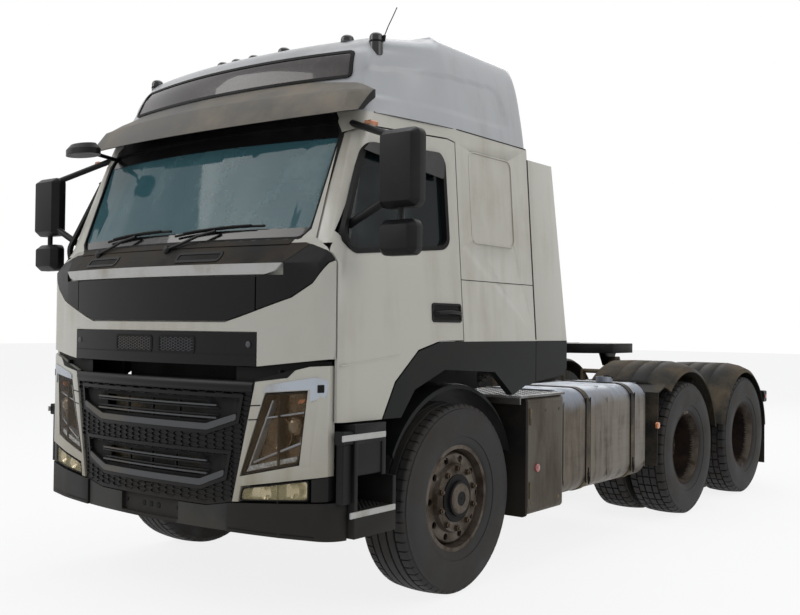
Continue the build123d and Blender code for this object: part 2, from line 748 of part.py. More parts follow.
REAR_GUARD_Y, REAR_GUARD_TOP, _, REAR_GUARD_END, _ = GUARDS[1]
FLAP_TOP = AXLE_Z + REAR_GUARD_TOP * sin(radians(REAR_GUARD_END)) - 6
FLAP_Y = REAR_GUARD_Y + REAR_GUARD_TOP - 22
with BuildPart() as mud_flaps:
    for sign in (-1, 1):
        with Locations((sign * FLAP_X, aft(FLAP_Y), (FLAP_TOP + FLAP_Z) / 2)):
            Box(2 * FLAP_HALF, 9, FLAP_TOP - FLAP_Z)
    rounded_prism(612, 1232, 345, 1066, 610, 634, 24)
save(mud_flaps, "mud_flaps")

LAMP_LOW = 795.0
LAMP_HIGH = 905.0
LAMP_REAR = 5318.0
with BuildPart() as tail_lamps:
    with BuildSketch(facing_front(LAMP_REAR - 78)):
        with Locations(((790 + 1215) / 2, (LAMP_LOW + LAMP_HIGH) / 2)):
            RectangleRounded(1215 - 790, LAMP_HIGH - LAMP_LOW, 14)
    extrude(amount=-78)
    with BuildSketch(facing_side(RAIL_OUTER_X)):
        with Locations((aft(LAMP_REAR - 45), (LAMP_LOW + LAMP_HIGH) / 2)):
            RectangleRounded(50, 60, 8)
    extrude(amount=790 - RAIL_OUTER_X)
    mirror(about=Plane.YZ)
save(tail_lamps, "tail_lamps")

# ---------------------------------------------------------------- fifth wheel and deck
COUPLING_Y = 3600.0
COUPLING_PIN_Z = 1205.0
COUPLING_TOP = 1365.0
COUPLING_PIN_R = 24.0
PEDESTAL = [(COUPLING_Y - 330, RAIL_TOP + 16), (COUPLING_Y + 330, RAIL_TOP + 16),
            (COUPLING_Y + 75, COUPLING_PIN_Z - 20), (COUPLING_Y + 40, COUPLING_PIN_Z + 42),
            (COUPLING_Y - 40, COUPLING_PIN_Z + 42), (COUPLING_Y - 75, COUPLING_PIN_Z - 20)]
with BuildPart() as fifth_wheel_base:
    with Locations((0, aft(COUPLING_Y), RAIL_TOP + 8)):
        Box(2 * RAIL_OUTER_X + 60, 860, 16)
    for x in (370, -430):
        with BuildSketch(facing_side(x)):
            with BuildLine():
                Polyline(*side_points(PEDESTAL), close=True)
            make_face()
            with Locations((aft(COUPLING_Y), COUPLING_PIN_Z)):
                Circle(COUPLING_PIN_R + 0.5, mode=Mode.SUBTRACT)
        extrude(amount=60)
save(fifth_wheel_base, "fifth_wheel_base")

JAW_R = 25.5                 # kingpin bore
PLATE_T = 85.0
PLATE_HALF = 468.0
POCKET_DEPTH = 50.0
# hollow under the plate, right half: (x, behind the coupling pin)
PLATE_POCKET = [(70, -400), (250, -350), (400, -190), (428, -120), (428, 200), (320, 378), (200, 378),
                (70, 130)]
PLATE_FRONT = COUPLING_Y - 470
PLATE_REAR = COUPLING_Y + 420
PLATE_LUG = [(COUPLING_Y - 150, COUPLING_TOP - PLATE_T + POCKET_DEPTH),
             (COUPLING_Y - 40, COUPLING_PIN_Z - 40), (COUPLING_Y + 40, COUPLING_PIN_Z - 40),
             (COUPLING_Y + 150, COUPLING_TOP - PLATE_T + POCKET_DEPTH)]
with BuildPart() as fifth_wheel:
    with BuildSketch(Plane.XY.offset(COUPLING_TOP - PLATE_T)):
        with BuildLine():
            Polyline((-160, aft(PLATE_REAR)), (-330, aft(PLATE_REAR)), (-PLATE_HALF, aft(PLATE_REAR - 190)),
                     (-PLATE_HALF, aft(COUPLING_Y - 160)))
            ThreePointArc((-PLATE_HALF, aft(COUPLING_Y - 160)), (0, aft(PLATE_FRONT)),
                          (PLATE_HALF, aft(COUPLING_Y - 160)))
            Polyline((PLATE_HALF, aft(COUPLING_Y - 160)), (PLATE_HALF, aft(PLATE_REAR - 190)),
                     (330, aft(PLATE_REAR)), (160, aft(PLATE_REAR)), (JAW_R, aft(COUPLING_Y + 140)),
                     (JAW_R, aft(COUPLING_Y)))
            ThreePointArc((JAW_R, aft(COUPLING_Y)), (0, aft(COUPLING_Y) - JAW_R), (-JAW_R, aft(COUPLING_Y)))
            Polyline((-JAW_R, aft(COUPLING_Y)), (-JAW_R, aft(COUPLING_Y + 140)), (-160, aft(PLATE_REAR)))
        make_face()
    extrude(amount=PLATE_T)
    for sign in (-1, 1):
        pocket = polygon(Plane.XY.offset(COUPLING_TOP - PLATE_T),
                         [(sign * x, aft(COUPLING_Y + y)) for x, y in PLATE_POCKET])
        extrude(pocket, amount=POCKET_DEPTH, mode=Mode.SUBTRACT)
    # ramps at the rear that guide the trailer up
    ramp = [(PLATE_REAR - 200, COUPLING_TOP), (PLATE_REAR + 5, COUPLING_TOP - 52),
            (PLATE_REAR + 5, COUPLING_TOP + 5)]
    extrude(polygon(facing_side(-500), side_points(ramp)), amount=1000, mode=Mode.SUBTRACT)
    for x in (300, -360):
        with BuildSketch(facing_side(x)):
            with BuildLine():
                Polyline(*side_points(PLATE_LUG), close=True)
            make_face()
        extrude(amount=60)
    for x, reach in ((330, 95), (-330, -95)):
        with BuildSketch(facing_side(x)):
            with Locations((aft(COUPLING_Y), COUPLING_PIN_Z)):
                Circle(COUPLING_PIN_R)
        extrude(amount=reach)
save(fifth_wheel, "fifth_wheel")

with BuildPart() as deck_plate:
    with Locations((0, aft(1900), RAIL_TOP + 3)):
        Box(2 * RAIL_OUTER_X, 1100, 6)
    # lid of the battery box, turned down at the front
    lid = [(1104, 1069), (1104, 1083), (560, 1083), (540, 1070), (540, 1032), (552, 1032), (552, 1069)]
    extrude(polygon(facing_side(608), side_points(lid)), amount=622)
save(deck_plate, "deck_plate")

# ---------------------------------------------------------------- cab openings in side view
# door outline from the lower front corner round the wheel arch: (behind the front axle, height)
HINGE_EDGE = -1040.0
DOOR_OUTLINE = [(HINGE_EDGE, 1030), (-745, 1030), (-650, 1215), (-470, 1375), (-300, 1420), (-95, 1424),
                (-95, 2520), (-150, 2532), (-740, 2518), (-805, 2480), (HINGE_EDGE, 1850)]
DOOR_WINDOW = [(-965, 1885), (-925, 1862), (-230, 1925), (-190, 1960), (-190, 2400), (-230, 2436),
               (-740, 2424), (-785, 2390), (-985, 1960)]
SCREEN = [(900, 1925), (948, 1975), (962, 2490), (925, 2545)]
OPENING_DEPTH = WALL + 10


def keep_side(points, x0, x1, grow=0.0):
    """Keep what lies inside a side-view outline between two X values."""
    outline = polygon(facing_side(x0), side_points(points))
    if grow:
        outline = offset(outline, amount=grow, kind=Kind.INTERSECTION, mode=Mode.PRIVATE)
    extrude(outline, amount=x1 - x0, mode=Mode.INTERSECT)


with BuildPart() as door_space:
    cab_skin(BELT_Z - 20, ROOF_Z, -6, OPENING_DEPTH)
    keep_side(DOOR_OUTLINE, -1300, 1300, SEAM)

with BuildPart() as front_space:
    cab_skin(BELT_Z - 20, 1905, -6, SKIN)
    with Locations((0, aft(-1250 + (1250 + HINGE_EDGE - SEAM) / 2 - 50), 1660)):
        Box(2600, 1250 + HINGE_EDGE - SEAM + 100, 700, mode=Mode.INTERSECT)

PANEL_DEPTH = 5.0
SLEEPER_PANEL = [(40, 1975), (500, 1975), (500, 2495), (40, 2495)]
ROOF_PANEL = [(-700, 2690), (520, 2700), (430, 2935), (-690, 2860)]


def side_recess(low, high, outline, radius):
    """Shallow pressed panel on both sides of the cab."""
    with BuildPart() as recess:
        cab_skin(low, high, -4, PANEL_DEPTH)
        extrude(rounded(facing_side(-1300), side_points(outline), radius), amount=2600, mode=Mode.INTERSECT)
    return recess.part


with BuildPart() as cab_shell:
    cab_body(BELT_Z, ROOF_Z)
    add(side_recess(1960, 2510, SLEEPER_PANEL, 55), mode=Mode.SUBTRACT)
    add(front_space.part, mode=Mode.SUBTRACT)
    cab_body(BELT_Z + WALL, ROOF_Z, WALL, mode=Mode.SUBTRACT)
    add(door_space.part, mode=Mode.SUBTRACT)
    cut_front(both_ways(SCREEN), depth=800)
save(cab_shell, "cab_shell")

# ---------------------------------------------------------------- moulded front of the cab
VENT = [(746, 1290), (746, 1457)]
LID = [(548, 1514), (640, 1540), (733, 1568), (733, 1738)]
TRIM_INNER = 741.0
# lower edge of the dark front, from the middle to the door seam
SWEEP = [(548, 1510), (640, 1536), (TRIM_INNER, 1568), (940, 1632), (1050, 1702), (1125, 1800), (1160, 1822)]
STRIP_LOW = 1745.0
STRIP_HIGH = 1800.0
COWL_HIGH = 1905.0
FRONT_SEAM = HINGE_EDGE - SEAM

with BuildPart() as vent_panel:
    cab_skin(1290, 1457, 0, SKIN)
    keep_front(both_ways(VENT))
save(vent_panel, "vent_panel")

with BuildPart() as front_panel:
    cab_skin(1290, 1830, 0, SKIN)
    keep_front(both_ways([(740, 1289), (1128, 1334), (1300, 1334), (1300, 1822)]
                         + [(x, z - 4) for x, z in reversed(SWEEP)]))
    cut_front([(-750, 1280), (750, 1280), (750, 1461), (-750, 1461)])
    with Locations((0, aft(FRONT_SEAM - 150), 1560)):
        Box(2600, 300, 700, mode=Mode.INTERSECT)
save(front_panel, "front_panel")

with BuildPart() as front_trim:
    cab_skin(1500, COWL_HIGH, 0, SKIN)
    keep_pair([(TRIM_INNER, 1572)] + [(x, z + 4) for x, z in SWEEP[3:]]
              + [(1160, COWL_HIGH), (990, COWL_HIGH), (895, STRIP_HIGH + 4), (895, STRIP_LOW - 4),
                 (TRIM_INNER, STRIP_LOW - 4)])
    with Locations((0, aft(FRONT_SEAM - 150), 1700)):
        Box(2600, 300, 700, mode=Mode.INTERSECT)
save(front_trim, "front_trim")

with BuildPart() as front_lid:
    cab_skin(1500, STRIP_LOW, 0, SKIN)
    keep_front(both_ways(LID))
save(front_lid, "front_lid")

with BuildPart() as front_strip:
    cab_skin(STRIP_LOW, STRIP_HIGH, -4, SKIN)
    keep_front(both_ways([(790, STRIP_LOW), (850, 1762), (890, STRIP_HIGH)]))

with BuildPart() as cowl_panel:
    cab_skin(STRIP_HIGH, COWL_HIGH, 0, SKIN)
    keep_front(both_ways([(888, STRIP_HIGH), (985, COWL_HIGH)]), depth=300)
    add(front_strip.part)
save(cowl_panel, "cowl_panel")

with BuildPart() as windscreen:
    cab_skin(1920, 2550, 16, 23)
    keep_front(both_ways(SCREEN), depth=800)
save(windscreen, "windscreen")

# ---------------------------------------------------------------- doors, door glass, mirrors
FLAP_INNER_X = 1137.0        # the door's lower flap passes outside the corner panel
FLAP_HIGH = 1390.0
FLAP_SKIN = 25.0
GLASS_OUT = 24.0
HINGE_CORNER_X = 1092.0       # cut away inside so that the door's front edge swings clear
GLASS_IN = 30.0
for side, mirrored in SIDES.items():
    x0, x1 = (-1300, -968) if mirrored else (968, 1300)
    with BuildPart() as door:
        cab_skin(1030, ROOF_Z, 0, WALL)
        keep_side(DOOR_OUTLINE, x0, x1)
        cab_body(1030, FLAP_HIGH, FLAP_SKIN, mode=Mode.SUBTRACT)
        with Locations((0, aft(-1000), 1000)):
            Box(2 * FLAP_INNER_X, 400, 2 * (FLAP_HIGH - 1000), mode=Mode.SUBTRACT)
        extrude(polygon(facing_side(x0), side_points(DOOR_WINDOW)), amount=x1 - x0, mode=Mode.SUBTRACT)
        with Locations((0, aft(HINGE_EDGE), 1450)):
            Box(2 * HINGE_CORNER_X, 110, 900, mode=Mode.SUBTRACT)
    save(door, f"door_{side}")
    with BuildPart() as door_glass:
        cab_skin(1800, 2500, GLASS_OUT, GLASS_IN)
        keep_side(DOOR_WINDOW, x0, x1)
    save(door_glass, f"door_glass_{side}")

# mirror heads: x from, x to, low, high
MIRROR_HEADS = [(1322, 1560, 2055, 2430), (1326, 1545, 1830, 2000)]
MIRROR_LAYERS = [(-895, 45, 0), (-940, 40, 35)]  # rear face, depth, taper of the body and the nose
MIRROR_ROUND = 40.0
# arms: start and end (x, behind the front axle, height), radius
MIRROR_ARMS = [
    ((1040, -930, 1955), (1380, -930, 2110), 20),
    ((1000, -770, 2535), (1380, -925, 2405), 18),
    ((1440, -925, 1980), (1440, -925, 2070), 16),
]
for side, mirrored in SIDES.items():
    sign = -1 if mirrored else 1
    with BuildPart() as mirror_arms:
        for x0, x1, low, high in MIRROR_HEADS:
            for back, depth, taper in MIRROR_LAYERS:
                with BuildSketch(facing_front(back)):
                    with Locations((sign * (x0 + x1) / 2, (low + high) / 2)):
                        RectangleRounded(x1 - x0, high - low, MIRROR_ROUND)
                extrude(amount=depth, taper=taper)
        for start, end, radius in MIRROR_ARMS:
            start = Vector(sign * start[0], aft(start[1]), start[2])
            run = Vector(sign * end[0], aft(end[1]), end[2]) - start
            with BuildSketch(Plane(origin=start, z_dir=run)):
                Circle(radius)
            extrude(amount=run.length)
        cab_body(1800, ROOF_Z, mode=Mode.SUBTRACT)
    save(mirror_arms, f"mirror_{side}")

# ---------------------------------------------------------------- wheel arches, skirts, side extensions
ARCH_PANEL = [(-734, 1030), (-642, 1209), (-466, 1366), (-285, BELT_Z), (CAB_REAR, BELT_Z), (CAB_REAR, 1160),
              (573, 1145), (434, 1097), (232, 1239), (-252, 1265), (-495, 1168), (-600, 1030)]
REAR_SKIRT = [(CAB_REAR + 6, 1166), (CAB_REAR + 6, BELT_Z), (1100, BELT_Z), (1100, 1240), (1060, 1195)]
ARCH_SKIN = 45.0
with BuildPart() as cab_arches:
    cab_skin(1030, BELT_Z, 0, ARCH_SKIN)
    keep_side(ARCH_PANEL, -1300, 1300)
    with Locations((0, aft(0), 1200)):
        Box(2 * 1140, 2000, 600, mode=Mode.SUBTRACT)
    for x in (1205, -1245):
        extrude(polygon(facing_side(x), side_points(REAR_SKIRT)), amount=40)
save(cab_arches, "cab_arches")

EXTENSION_TOP = 2540.0
with BuildPart() as side_extensions:
    for z, x0, x1, rear in ((BELT_Z, 1205, 1245, 1100), (EXTENSION_TOP, 1128, 1168, 1015)):
        with BuildSketch(Plane.XY.offset(z)):
            with Locations(((x0 + x1) / 2, aft((CAB_REAR + rear) / 2))):
                Rectangle(x1 - x0, rear - CAB_REAR)
    loft()
    mirror(about=Plane.YZ)
save(side_extensions, "side_extensions")

# ---------------------------------------------------------------- high roof, sign panel, visor, lamps
ROOF_TOP = 3145.0
ROOF_WALL = 45.0
SIGN = [(905, 2806), (866, 2980)]
with BuildPart() as sign_panel:
    cab_skin(2750, 3000, -2, 14)
    keep_front(both_ways(SIGN), depth=900)
save(sign_panel, "sign_panel")

with BuildPart() as roof_cap:
    cab_body(ROOF_Z, ROOF_TOP)
    cab_body(ROOF_Z, ROOF_TOP - ROOF_WALL, ROOF_WALL, mode=Mode.SUBTRACT)
    add(sign_panel.part, mode=Mode.SUBTRACT)
    add(side_recess(2680, 2950, ROOF_PANEL, 60), mode=Mode.SUBTRACT)
save(roof_cap, "roof_cap")

# height, how far the visor's outer and inner faces stand out from the roof
VISOR = [(2802, 4, -24), (2715, 86, 50), (2700, 108, 72), (2540, 142, 118)]
VISOR_HALF = 1110.0
# the lower edge falls towards the middle: (behind the front axle, height)
VISOR_EDGE = [(-1200, 2516), (-1000, 2551), (-740, 2598), (-600, 2624), (-600, 2400), (-1200, 2400)]
with BuildPart() as sun_visor:
    loft([cab_outline(z, -out) for z, out, _ in VISOR], ruled=True)
    loft([cab_outline(z, -inner) for z, _, inner in VISOR], ruled=True, mode=Mode.SUBTRACT)
    cab_body(2500, 2810, mode=Mode.SUBTRACT)
    with Locations((0, aft(-1020), 2720)):
        Box(2 * VISOR_HALF, 600, 500, mode=Mode.INTERSECT)
    extrude(polygon(facing_side(-1300), side_points(VISOR_EDGE)), amount=2600, mode=Mode.SUBTRACT)
save(sun_visor, "sun_visor")

LAMP_XS = [-904, -275, -151, -4, 245, 729, 934]
LAMP_Y = -504.0
LAMP_R = 38.0
LAMP_TOPS = [3085, 3105, 3105, 3105, 3110, 3100, 3078]
with BuildPart() as roof_lamps:
    for x, top in zip(LAMP_XS, LAMP_TOPS):
        with BuildSketch(Plane(origin=(x, aft(LAMP_Y), top), x_dir=(1, 0, 0), z_dir=(0, -1, 0))):
            with BuildLine():
                Line((0, 0), (12, 0))
                ThreePointArc((12, 0), (30, -8), (LAMP_R, -26))
                Polyline((LAMP_R, -26), (LAMP_R, -128), (0, -128), (0, 0))
            make_face()
        revolve(axis=Axis((x, aft(LAMP_Y), top), (0, 0, 1)))
    cab_body(2900, ROOF_TOP, mode=Mode.SUBTRACT)
save(roof_lamps, "roof_lamps")

# kerb mirror on the right-hand front corner
with BuildPart() as kerb_mirror:
    with BuildSketch(Plane(origin=(-895, aft(-1062), 2512))):
        Ellipse(140, 76)
    extrude(amount=35)
    with BuildSketch(Plane(origin=(-895, aft(-1062), 2547))):
        Ellipse(140, 76)
    extrude(amount=32, taper=40)
    start = Vector(-925, aft(-770), 2520)
    run = Vector(-905, aft(-1040), 2545) - start
    with BuildSketch(Plane(origin=start, z_dir=run)):
        Circle(12)
    extrude(amount=run.length)
    cab_body(2400, ROOF_Z, mode=Mode.SUBTRACT)
save(kerb_mirror, "kerb_mirror")

# ---------------------------------------------------------------- tilt arms under the cab
with BuildPart() as tilt_arms:
    for x in (ARM_INNER_X, -ARM_OUTER_X):
        with BuildSketch(facing_side(x)):
            with BuildLine():
                Polyline(
                    *side_points([(TILT_Y - 10, TILT_Z + 50), (-745, 1080), (-745, BELT_Z), (-600, BELT_Z),
                                  (-600, 1015), (TILT_Y + 30, TILT_Z - 40)]),
                    close=True,
                )
            make_face()
            with Locations((aft(TILT_Y), TILT_Z)):
                Circle(50)
                Circle(PIVOT_PIN_R + 0.5, mode=Mode.SUBTRACT)
        extrude(amount=ARM_OUTER_X - ARM_INNER_X)
save(tilt_arms, "tilt_arms")

# ---------------------------------------------------------------- inside the cab
CAB_FLOOR = BELT_Z + WALL
DASH = [(-1200, CAB_FLOOR), (-840, CAB_FLOOR), (-760, 1620), (-700, 1720), (-720, 1840), (-1200, 1870)]
DASH_HALF = 1025.0
with BuildPart() as dashboard:
    cab_body(CAB_FLOOR, 1880, 90)
    keep_side(DASH, -DASH_HALF, DASH_HALF)
save(dashboard, "dashboard")

SEAT_X = 550.0
with BuildPart() as seats_and_bunk:
    with BuildSketch(facing_side(SEAT_X - 180)):
        with BuildLine():
            Polyline(*side_points([(-180, CAB_FLOOR), (130, CAB_FLOOR), (110, 1740), (-160, 1740)]),
                     close=True)
        make_face()
    extrude(amount=360)
    with BuildSketch(facing_side(SEAT_X - 255)):
        with BuildLine():
            Polyline(*side_points([(-280, 1740), (170, 1740), (240, 2440), (160, 2460), (70, 1900),
                                   (-280, 1910)]), close=True)
        make_face()
    extrude(amount=510)
    with BuildSketch(facing_side(SEAT_X - 130)):
        with BuildLine():
            Polyline(*side_points([(160, 2440), (240, 2430), (250, 2620), (190, 2620)]), close=True)
        make_face()
    extrude(amount=260)
    mirror(about=Plane.YZ)
    with Locations((0, aft(455), (CAB_FLOOR + 1900) / 2)):
        Box(2 * 1080, 350, 1900 - CAB_FLOOR)
save(seats_and_bunk, "seats_and_bunk")

# steering wheel on its sloping column
STEER_Y = -520.0
STEER_Z = 2050.0
STEER_TILT = 27.0
STEER_R = 225.0
RIM_TUBE_R = 15.0
column = Vector(0, sin(radians(STEER_TILT)), cos(radians(STEER_TILT)))
steer_centre = Vector(SEAT_X, aft(STEER_Y), STEER_Z)
with BuildPart() as steering_wheel:
    wheel_face = Plane(origin=steer_centre, x_dir=(1, 0, 0), z_dir=column)
    with Locations(wheel_face):
        Torus(STEER_R, RIM_TUBE_R)
    with BuildSketch(wheel_face.offset(-30)):
        Circle(55)
        Rectangle(2 * STEER_R - 10, 36)
        with Locations((0, -STEER_R / 2)):
            Rectangle(36, STEER_R - 8)
    extrude(amount=24)
    with BuildSketch(wheel_face.offset(-300)):
        Circle(24)
    extrude(amount=275)
save(steering_wheel, "steering_wheel")
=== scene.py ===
import json
import math
from contextlib import contextmanager

import bmesh
import bpy
from mathutils import Matrix, Vector
from mathutils.geometry import delaunay_2d_cdt


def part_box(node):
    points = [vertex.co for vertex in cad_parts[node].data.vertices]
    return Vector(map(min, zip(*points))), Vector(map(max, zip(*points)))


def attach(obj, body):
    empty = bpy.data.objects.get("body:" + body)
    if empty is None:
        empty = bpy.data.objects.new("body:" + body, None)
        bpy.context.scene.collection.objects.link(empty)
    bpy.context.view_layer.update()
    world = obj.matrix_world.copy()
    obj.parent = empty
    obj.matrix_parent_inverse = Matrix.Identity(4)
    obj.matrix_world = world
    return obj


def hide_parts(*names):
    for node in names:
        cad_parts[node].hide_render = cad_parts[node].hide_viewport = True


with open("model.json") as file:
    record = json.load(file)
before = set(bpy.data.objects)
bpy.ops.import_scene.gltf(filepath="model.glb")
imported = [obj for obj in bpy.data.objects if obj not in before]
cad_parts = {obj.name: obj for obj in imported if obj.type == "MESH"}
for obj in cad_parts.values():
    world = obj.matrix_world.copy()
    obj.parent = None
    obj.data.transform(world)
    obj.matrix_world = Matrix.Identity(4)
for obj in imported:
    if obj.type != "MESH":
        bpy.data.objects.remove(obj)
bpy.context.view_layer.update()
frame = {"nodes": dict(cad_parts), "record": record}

FRONT_AXLE_Y = -2.053
AXLE_Z = 0.535
FIRST_DRIVE, SECOND_DRIVE = 3.2, 4.57         # distances behind the front axle
SIDES = {"left": 1, "right": -1}


def aft(distance):
    """Y of a point this far behind the front axle."""
    return FRONT_AXLE_Y + distance


def at(x, distance, z):
    """Place from its x, its distance behind the front axle and its height."""
    return Vector((x, aft(distance), z))


# ---------------------------------------- finishes
class Shade:
    """A value in a finish. Sums and products of these add Math nodes."""

    def __init__(self, finish, socket):
        self.finish = finish
        self.socket = socket

    def _math(self, operation, first, second):
        return self.finish.node("ShaderNodeMath", {"operation": operation}, {0: first, 1: second})

    def __add__(self, other):
        return self._math("ADD", self, other)

    __radd__ = __add__

    def __sub__(self, other):
        return self._math("SUBTRACT", self, other)

    def __rsub__(self, other):
        return self._math("SUBTRACT", other, self)

    def __mul__(self, other):
        return self._math("MULTIPLY", self, other)

    __rmul__ = __mul__

    def highest(self, other):
        return self._math("MAXIMUM", self, other)


class Nodes:
    """Makes and feeds the nodes of one tree."""

    def __init__(self, tree):
        self.tree = tree

    def node(self, kind, settings=None, inputs=None, out=0):
        made = self.tree.nodes.new(kind)
        for name, value in (settings or {}).items():
            setattr(made, name, value)
        for key, value in (inputs or {}).items():
            self.feed(made.inputs[key], value)
        return Shade(self, made.outputs[out])

    def feed(self, socket, value):
        if isinstance(value, Shade):
            self.tree.links.new(value.socket, socket)
        else:
            socket.default_value = value


class Finish(Nodes):
    """A material and its shader."""

    def __init__(self, name):
        self.material = bpy.data.materials.new(name)
        self.material.use_nodes = True
        super().__init__(self.material.node_tree)
        self.shader = self.tree.nodes["Principled BSDF"]
        self.object_place = self.node("ShaderNodeTexCoord", out="Object")

    def stretched(self, scale):
        return self.node("ShaderNodeVectorMath", {"operation": "MULTIPLY"}, {0: self.object_place, 1: scale})

    def noise(self, scale, detail=3.0, roughness=0.55, stretch=(1, 1, 1)):
        place = self.stretched(stretch)
        return self.node("ShaderNodeTexNoise", None,
                         {"Vector": place, "Scale": scale, "Detail": detail, "Roughness": roughness})

    def cells(self, scale, stretch=(1, 1, 1)):
        place = self.stretched(stretch)
        return self.node("ShaderNodeTexVoronoi", None, {"Vector": place, "Scale": scale}, "Distance")

    def height(self):
        return self.node("ShaderNodeSeparateXYZ", None, {0: self.object_place}, "Z")

    def fade(self, value, start, end):
        """0 before start, 1 after end, smooth between."""
        return self.node("ShaderNodeMapRange", {"interpolation_type": "SMOOTHSTEP"},
                         {"Value": value, "From Min": start, "From Max": end})

    def blend(self, mask, first, second):
        return self.node("ShaderNodeMix", {"data_type": "RGBA"}, {0: mask, 6: first, 7: second}, 2)

    def looks(self, **values):
        for name, value in values.items():
            self.feed(self.shader.inputs[name.replace("_", " ")], value)

    def bumps(self, height, depth):
        self.looks(Normal=self.node("ShaderNodeBump", None, {"Height": height, "Distance": depth}, "Normal"))


def tone(red, green, blue, alpha=1.0):
    """Linear colour of an ordinary 0 to 255 one."""
    def linear(value):
        value = value / 255
        return value / 12.92 if value <= 0.04045 else ((value + 0.055) / 1.055) ** 2.4
    return linear(red), linear(green), linear(blue), alpha


def weathered(name, clean, dirt, rough=(0.4, 0.7), blotch=2.6, cover=(0.45, 0.75), grain=(300, 0.0004),
              streak=(1, 1, 1), fleck=0.25, low=None, metallic=0.0, coat=0.0):
    """A solid finish that dust and wear lie on. low=(from, to) adds road dirt below a height."""
    finish = Finish(name)
    soft = finish.noise(blotch, 6.0, 0.62, streak)
    fine = finish.noise(grain[0], 3.0)
    mask = finish.fade(soft + (fine - 0.5) * fleck, *cover)
    if low:
        splash = finish.fade(finish.height() + (soft - 0.5) * 0.7, low[1], low[0])
        mask = mask.highest(splash)
    finish.looks(Base_Color=finish.blend(mask, clean, dirt), Metallic=metallic, Coat_Weight=coat,
                 Specular_IOR_Level=0.15, Roughness=rough[0] + mask * (rough[1] - rough[0]) + (fine - 0.5) * 0.08)
    finish.bumps(fine + soft * 0.6, grain[1])
    return finish.material


def painted(name, clean, dirt):
    """Body paint with a dust film, faint runs down the panels and road dirt low on them."""
    finish = Finish(name)
    film = finish.noise(1.1, 7.0, 0.6)
    runs = finish.noise(9.0, 4.0, 0.6, (1.0, 1.0, 0.12))
    speck = finish.noise(160, 2.0)
    low = finish.fade(finish.height() + (film - 0.5) * 0.8, 1.15, 0.45)
    mask = (finish.fade(film * 0.6 + runs * 0.4, 0.44, 0.72) * 0.55 + low * 0.7) * (0.75 + speck * 0.5)
    finish.looks(Base_Color=finish.blend(mask, clean, dirt), Coat_Weight=0.25, Coat_Roughness=0.12,
                 Roughness=0.34 + mask * 0.4)
    finish.bumps(finish.noise(420, 1.0) + finish.noise(28, 2.0) * 1.5, 0.0002)
    return finish.material


def tank_metal(name, side, top, scuff):
    """Bare sheet with brushed streaks, brown stain on the sides and a top without stain, painted a lighter sky
    colour as a painted sky reflection.
    """
    finish = Finish(name)
    stain = finish.noise(2.2, 8.0, 0.68)
    brushed = finish.noise(60, 3.0, 0.6, (1.0, 0.06, 1.0))
    drips = finish.noise(14, 4.0, 0.6, (1.0, 1.0, 0.1))
    # painted sky reflection: above this height the sheet takes the lighter sky colour of the top
    clean = finish.fade(finish.height() + (stain - 0.5) * 0.25, 0.94, 1.06)
    worn = finish.fade(stain * 0.5 + drips * 0.5, 0.42, 0.66)
    sides = finish.blend(worn, side, scuff)
    finish.looks(Base_Color=finish.blend(clean, sides, top), Metallic=0.55,
                 Roughness=0.38 + worn * 0.3 + (brushed - 0.5) * 0.2)
    finish.bumps(brushed + stain, 0.0005)
    return finish.material


def woven(name, light, dark):
    """Upholstery cloth: a fine over-and-under weave with faded patches."""
    finish = Finish(name)
    threads = finish.node("ShaderNodeTexWave", {"bands_direction": "X"},
                          {"Vector": finish.object_place, "Scale": 190.0, "Distortion": 0.6})
    crossing = finish.node("ShaderNodeTexWave", {"bands_direction": "DIAGONAL"},
                           {"Vector": finish.object_place, "Scale": 150.0, "Distortion": 0.6})
    weave = threads * 0.5 + crossing * 0.5
    faded = finish.noise(5.0, 5.0)
    finish.looks(Base_Color=finish.blend(weave * 0.6 + faded * 0.4, dark, light), Roughness=0.9,
                 Sheen_Weight=0.3)
    finish.bumps(weave, 0.0008)
    return finish.material


def clear(name, tint, alpha, film, rough=(0.03, 0.12)):
    """Tinted glass or lamp cover with a thin dust film."""
    finish = Finish(name)
    dust = finish.fade(finish.noise(3.0, 7.0, 0.65) + (finish.noise(90, 2.0) - 0.5) * 0.04, 0.42, 0.8)
    finish.looks(Base_Color=finish.blend(dust * 0.5, tint, film), Alpha=alpha + dust * 0.1,
                 Roughness=rough[0] + dust * (rough[1] - rough[0]), Specular_IOR_Level=0.2)
    return finish.material


def polished(name, tint, smear, metallic=1.0, rough=(0.06, 0.3)):
    """Shiny surface with a thin uneven haze."""
    finish = Finish(name)
    haze = finish.fade(finish.noise(12.0, 6.0, 0.6), 0.4, 0.75)
    finish.looks(Base_Color=finish.blend(haze * 0.6, tint, smear), Metallic=metallic,
                 Roughness=rough[0] + haze * (rough[1] - rough[0]))
    finish.bumps(finish.noise(200, 2.0), 0.0001)
    return finish.material


def ribbed_lens(name, colour, deep):
    """Moulded lamp lens with fine prisms inside."""
    finish = Finish(name)
    prisms = finish.cells(70.0, (1.0, 0.4, 1.6))
    finish.looks(Base_Color=finish.blend(prisms * 1.2, deep, colour), Roughness=0.18 + prisms * 0.2,
                 Coat_Weight=1.0, Coat_Roughness=0.05)
    finish.bumps(prisms, 0.003)
    return finish.material


def tread_rubber():
    """Tyre rubber with dust in its grain."""
    finish = Finish("tyre_rubber")
    soft = finish.noise(4.0, 6.0, 0.6)
    fine = finish.noise(220, 3.0)
    mask = finish.fade(soft + (fine - 0.5) * 0.4, 0.4, 0.75)
    finish.looks(Base_Color=finish.blend(mask, tone(16, 15, 15), tone(38, 33, 28)),
                 Roughness=0.72 + mask * 0.2)
    finish.bumps(fine + soft, 0.0012)
    return finish.material


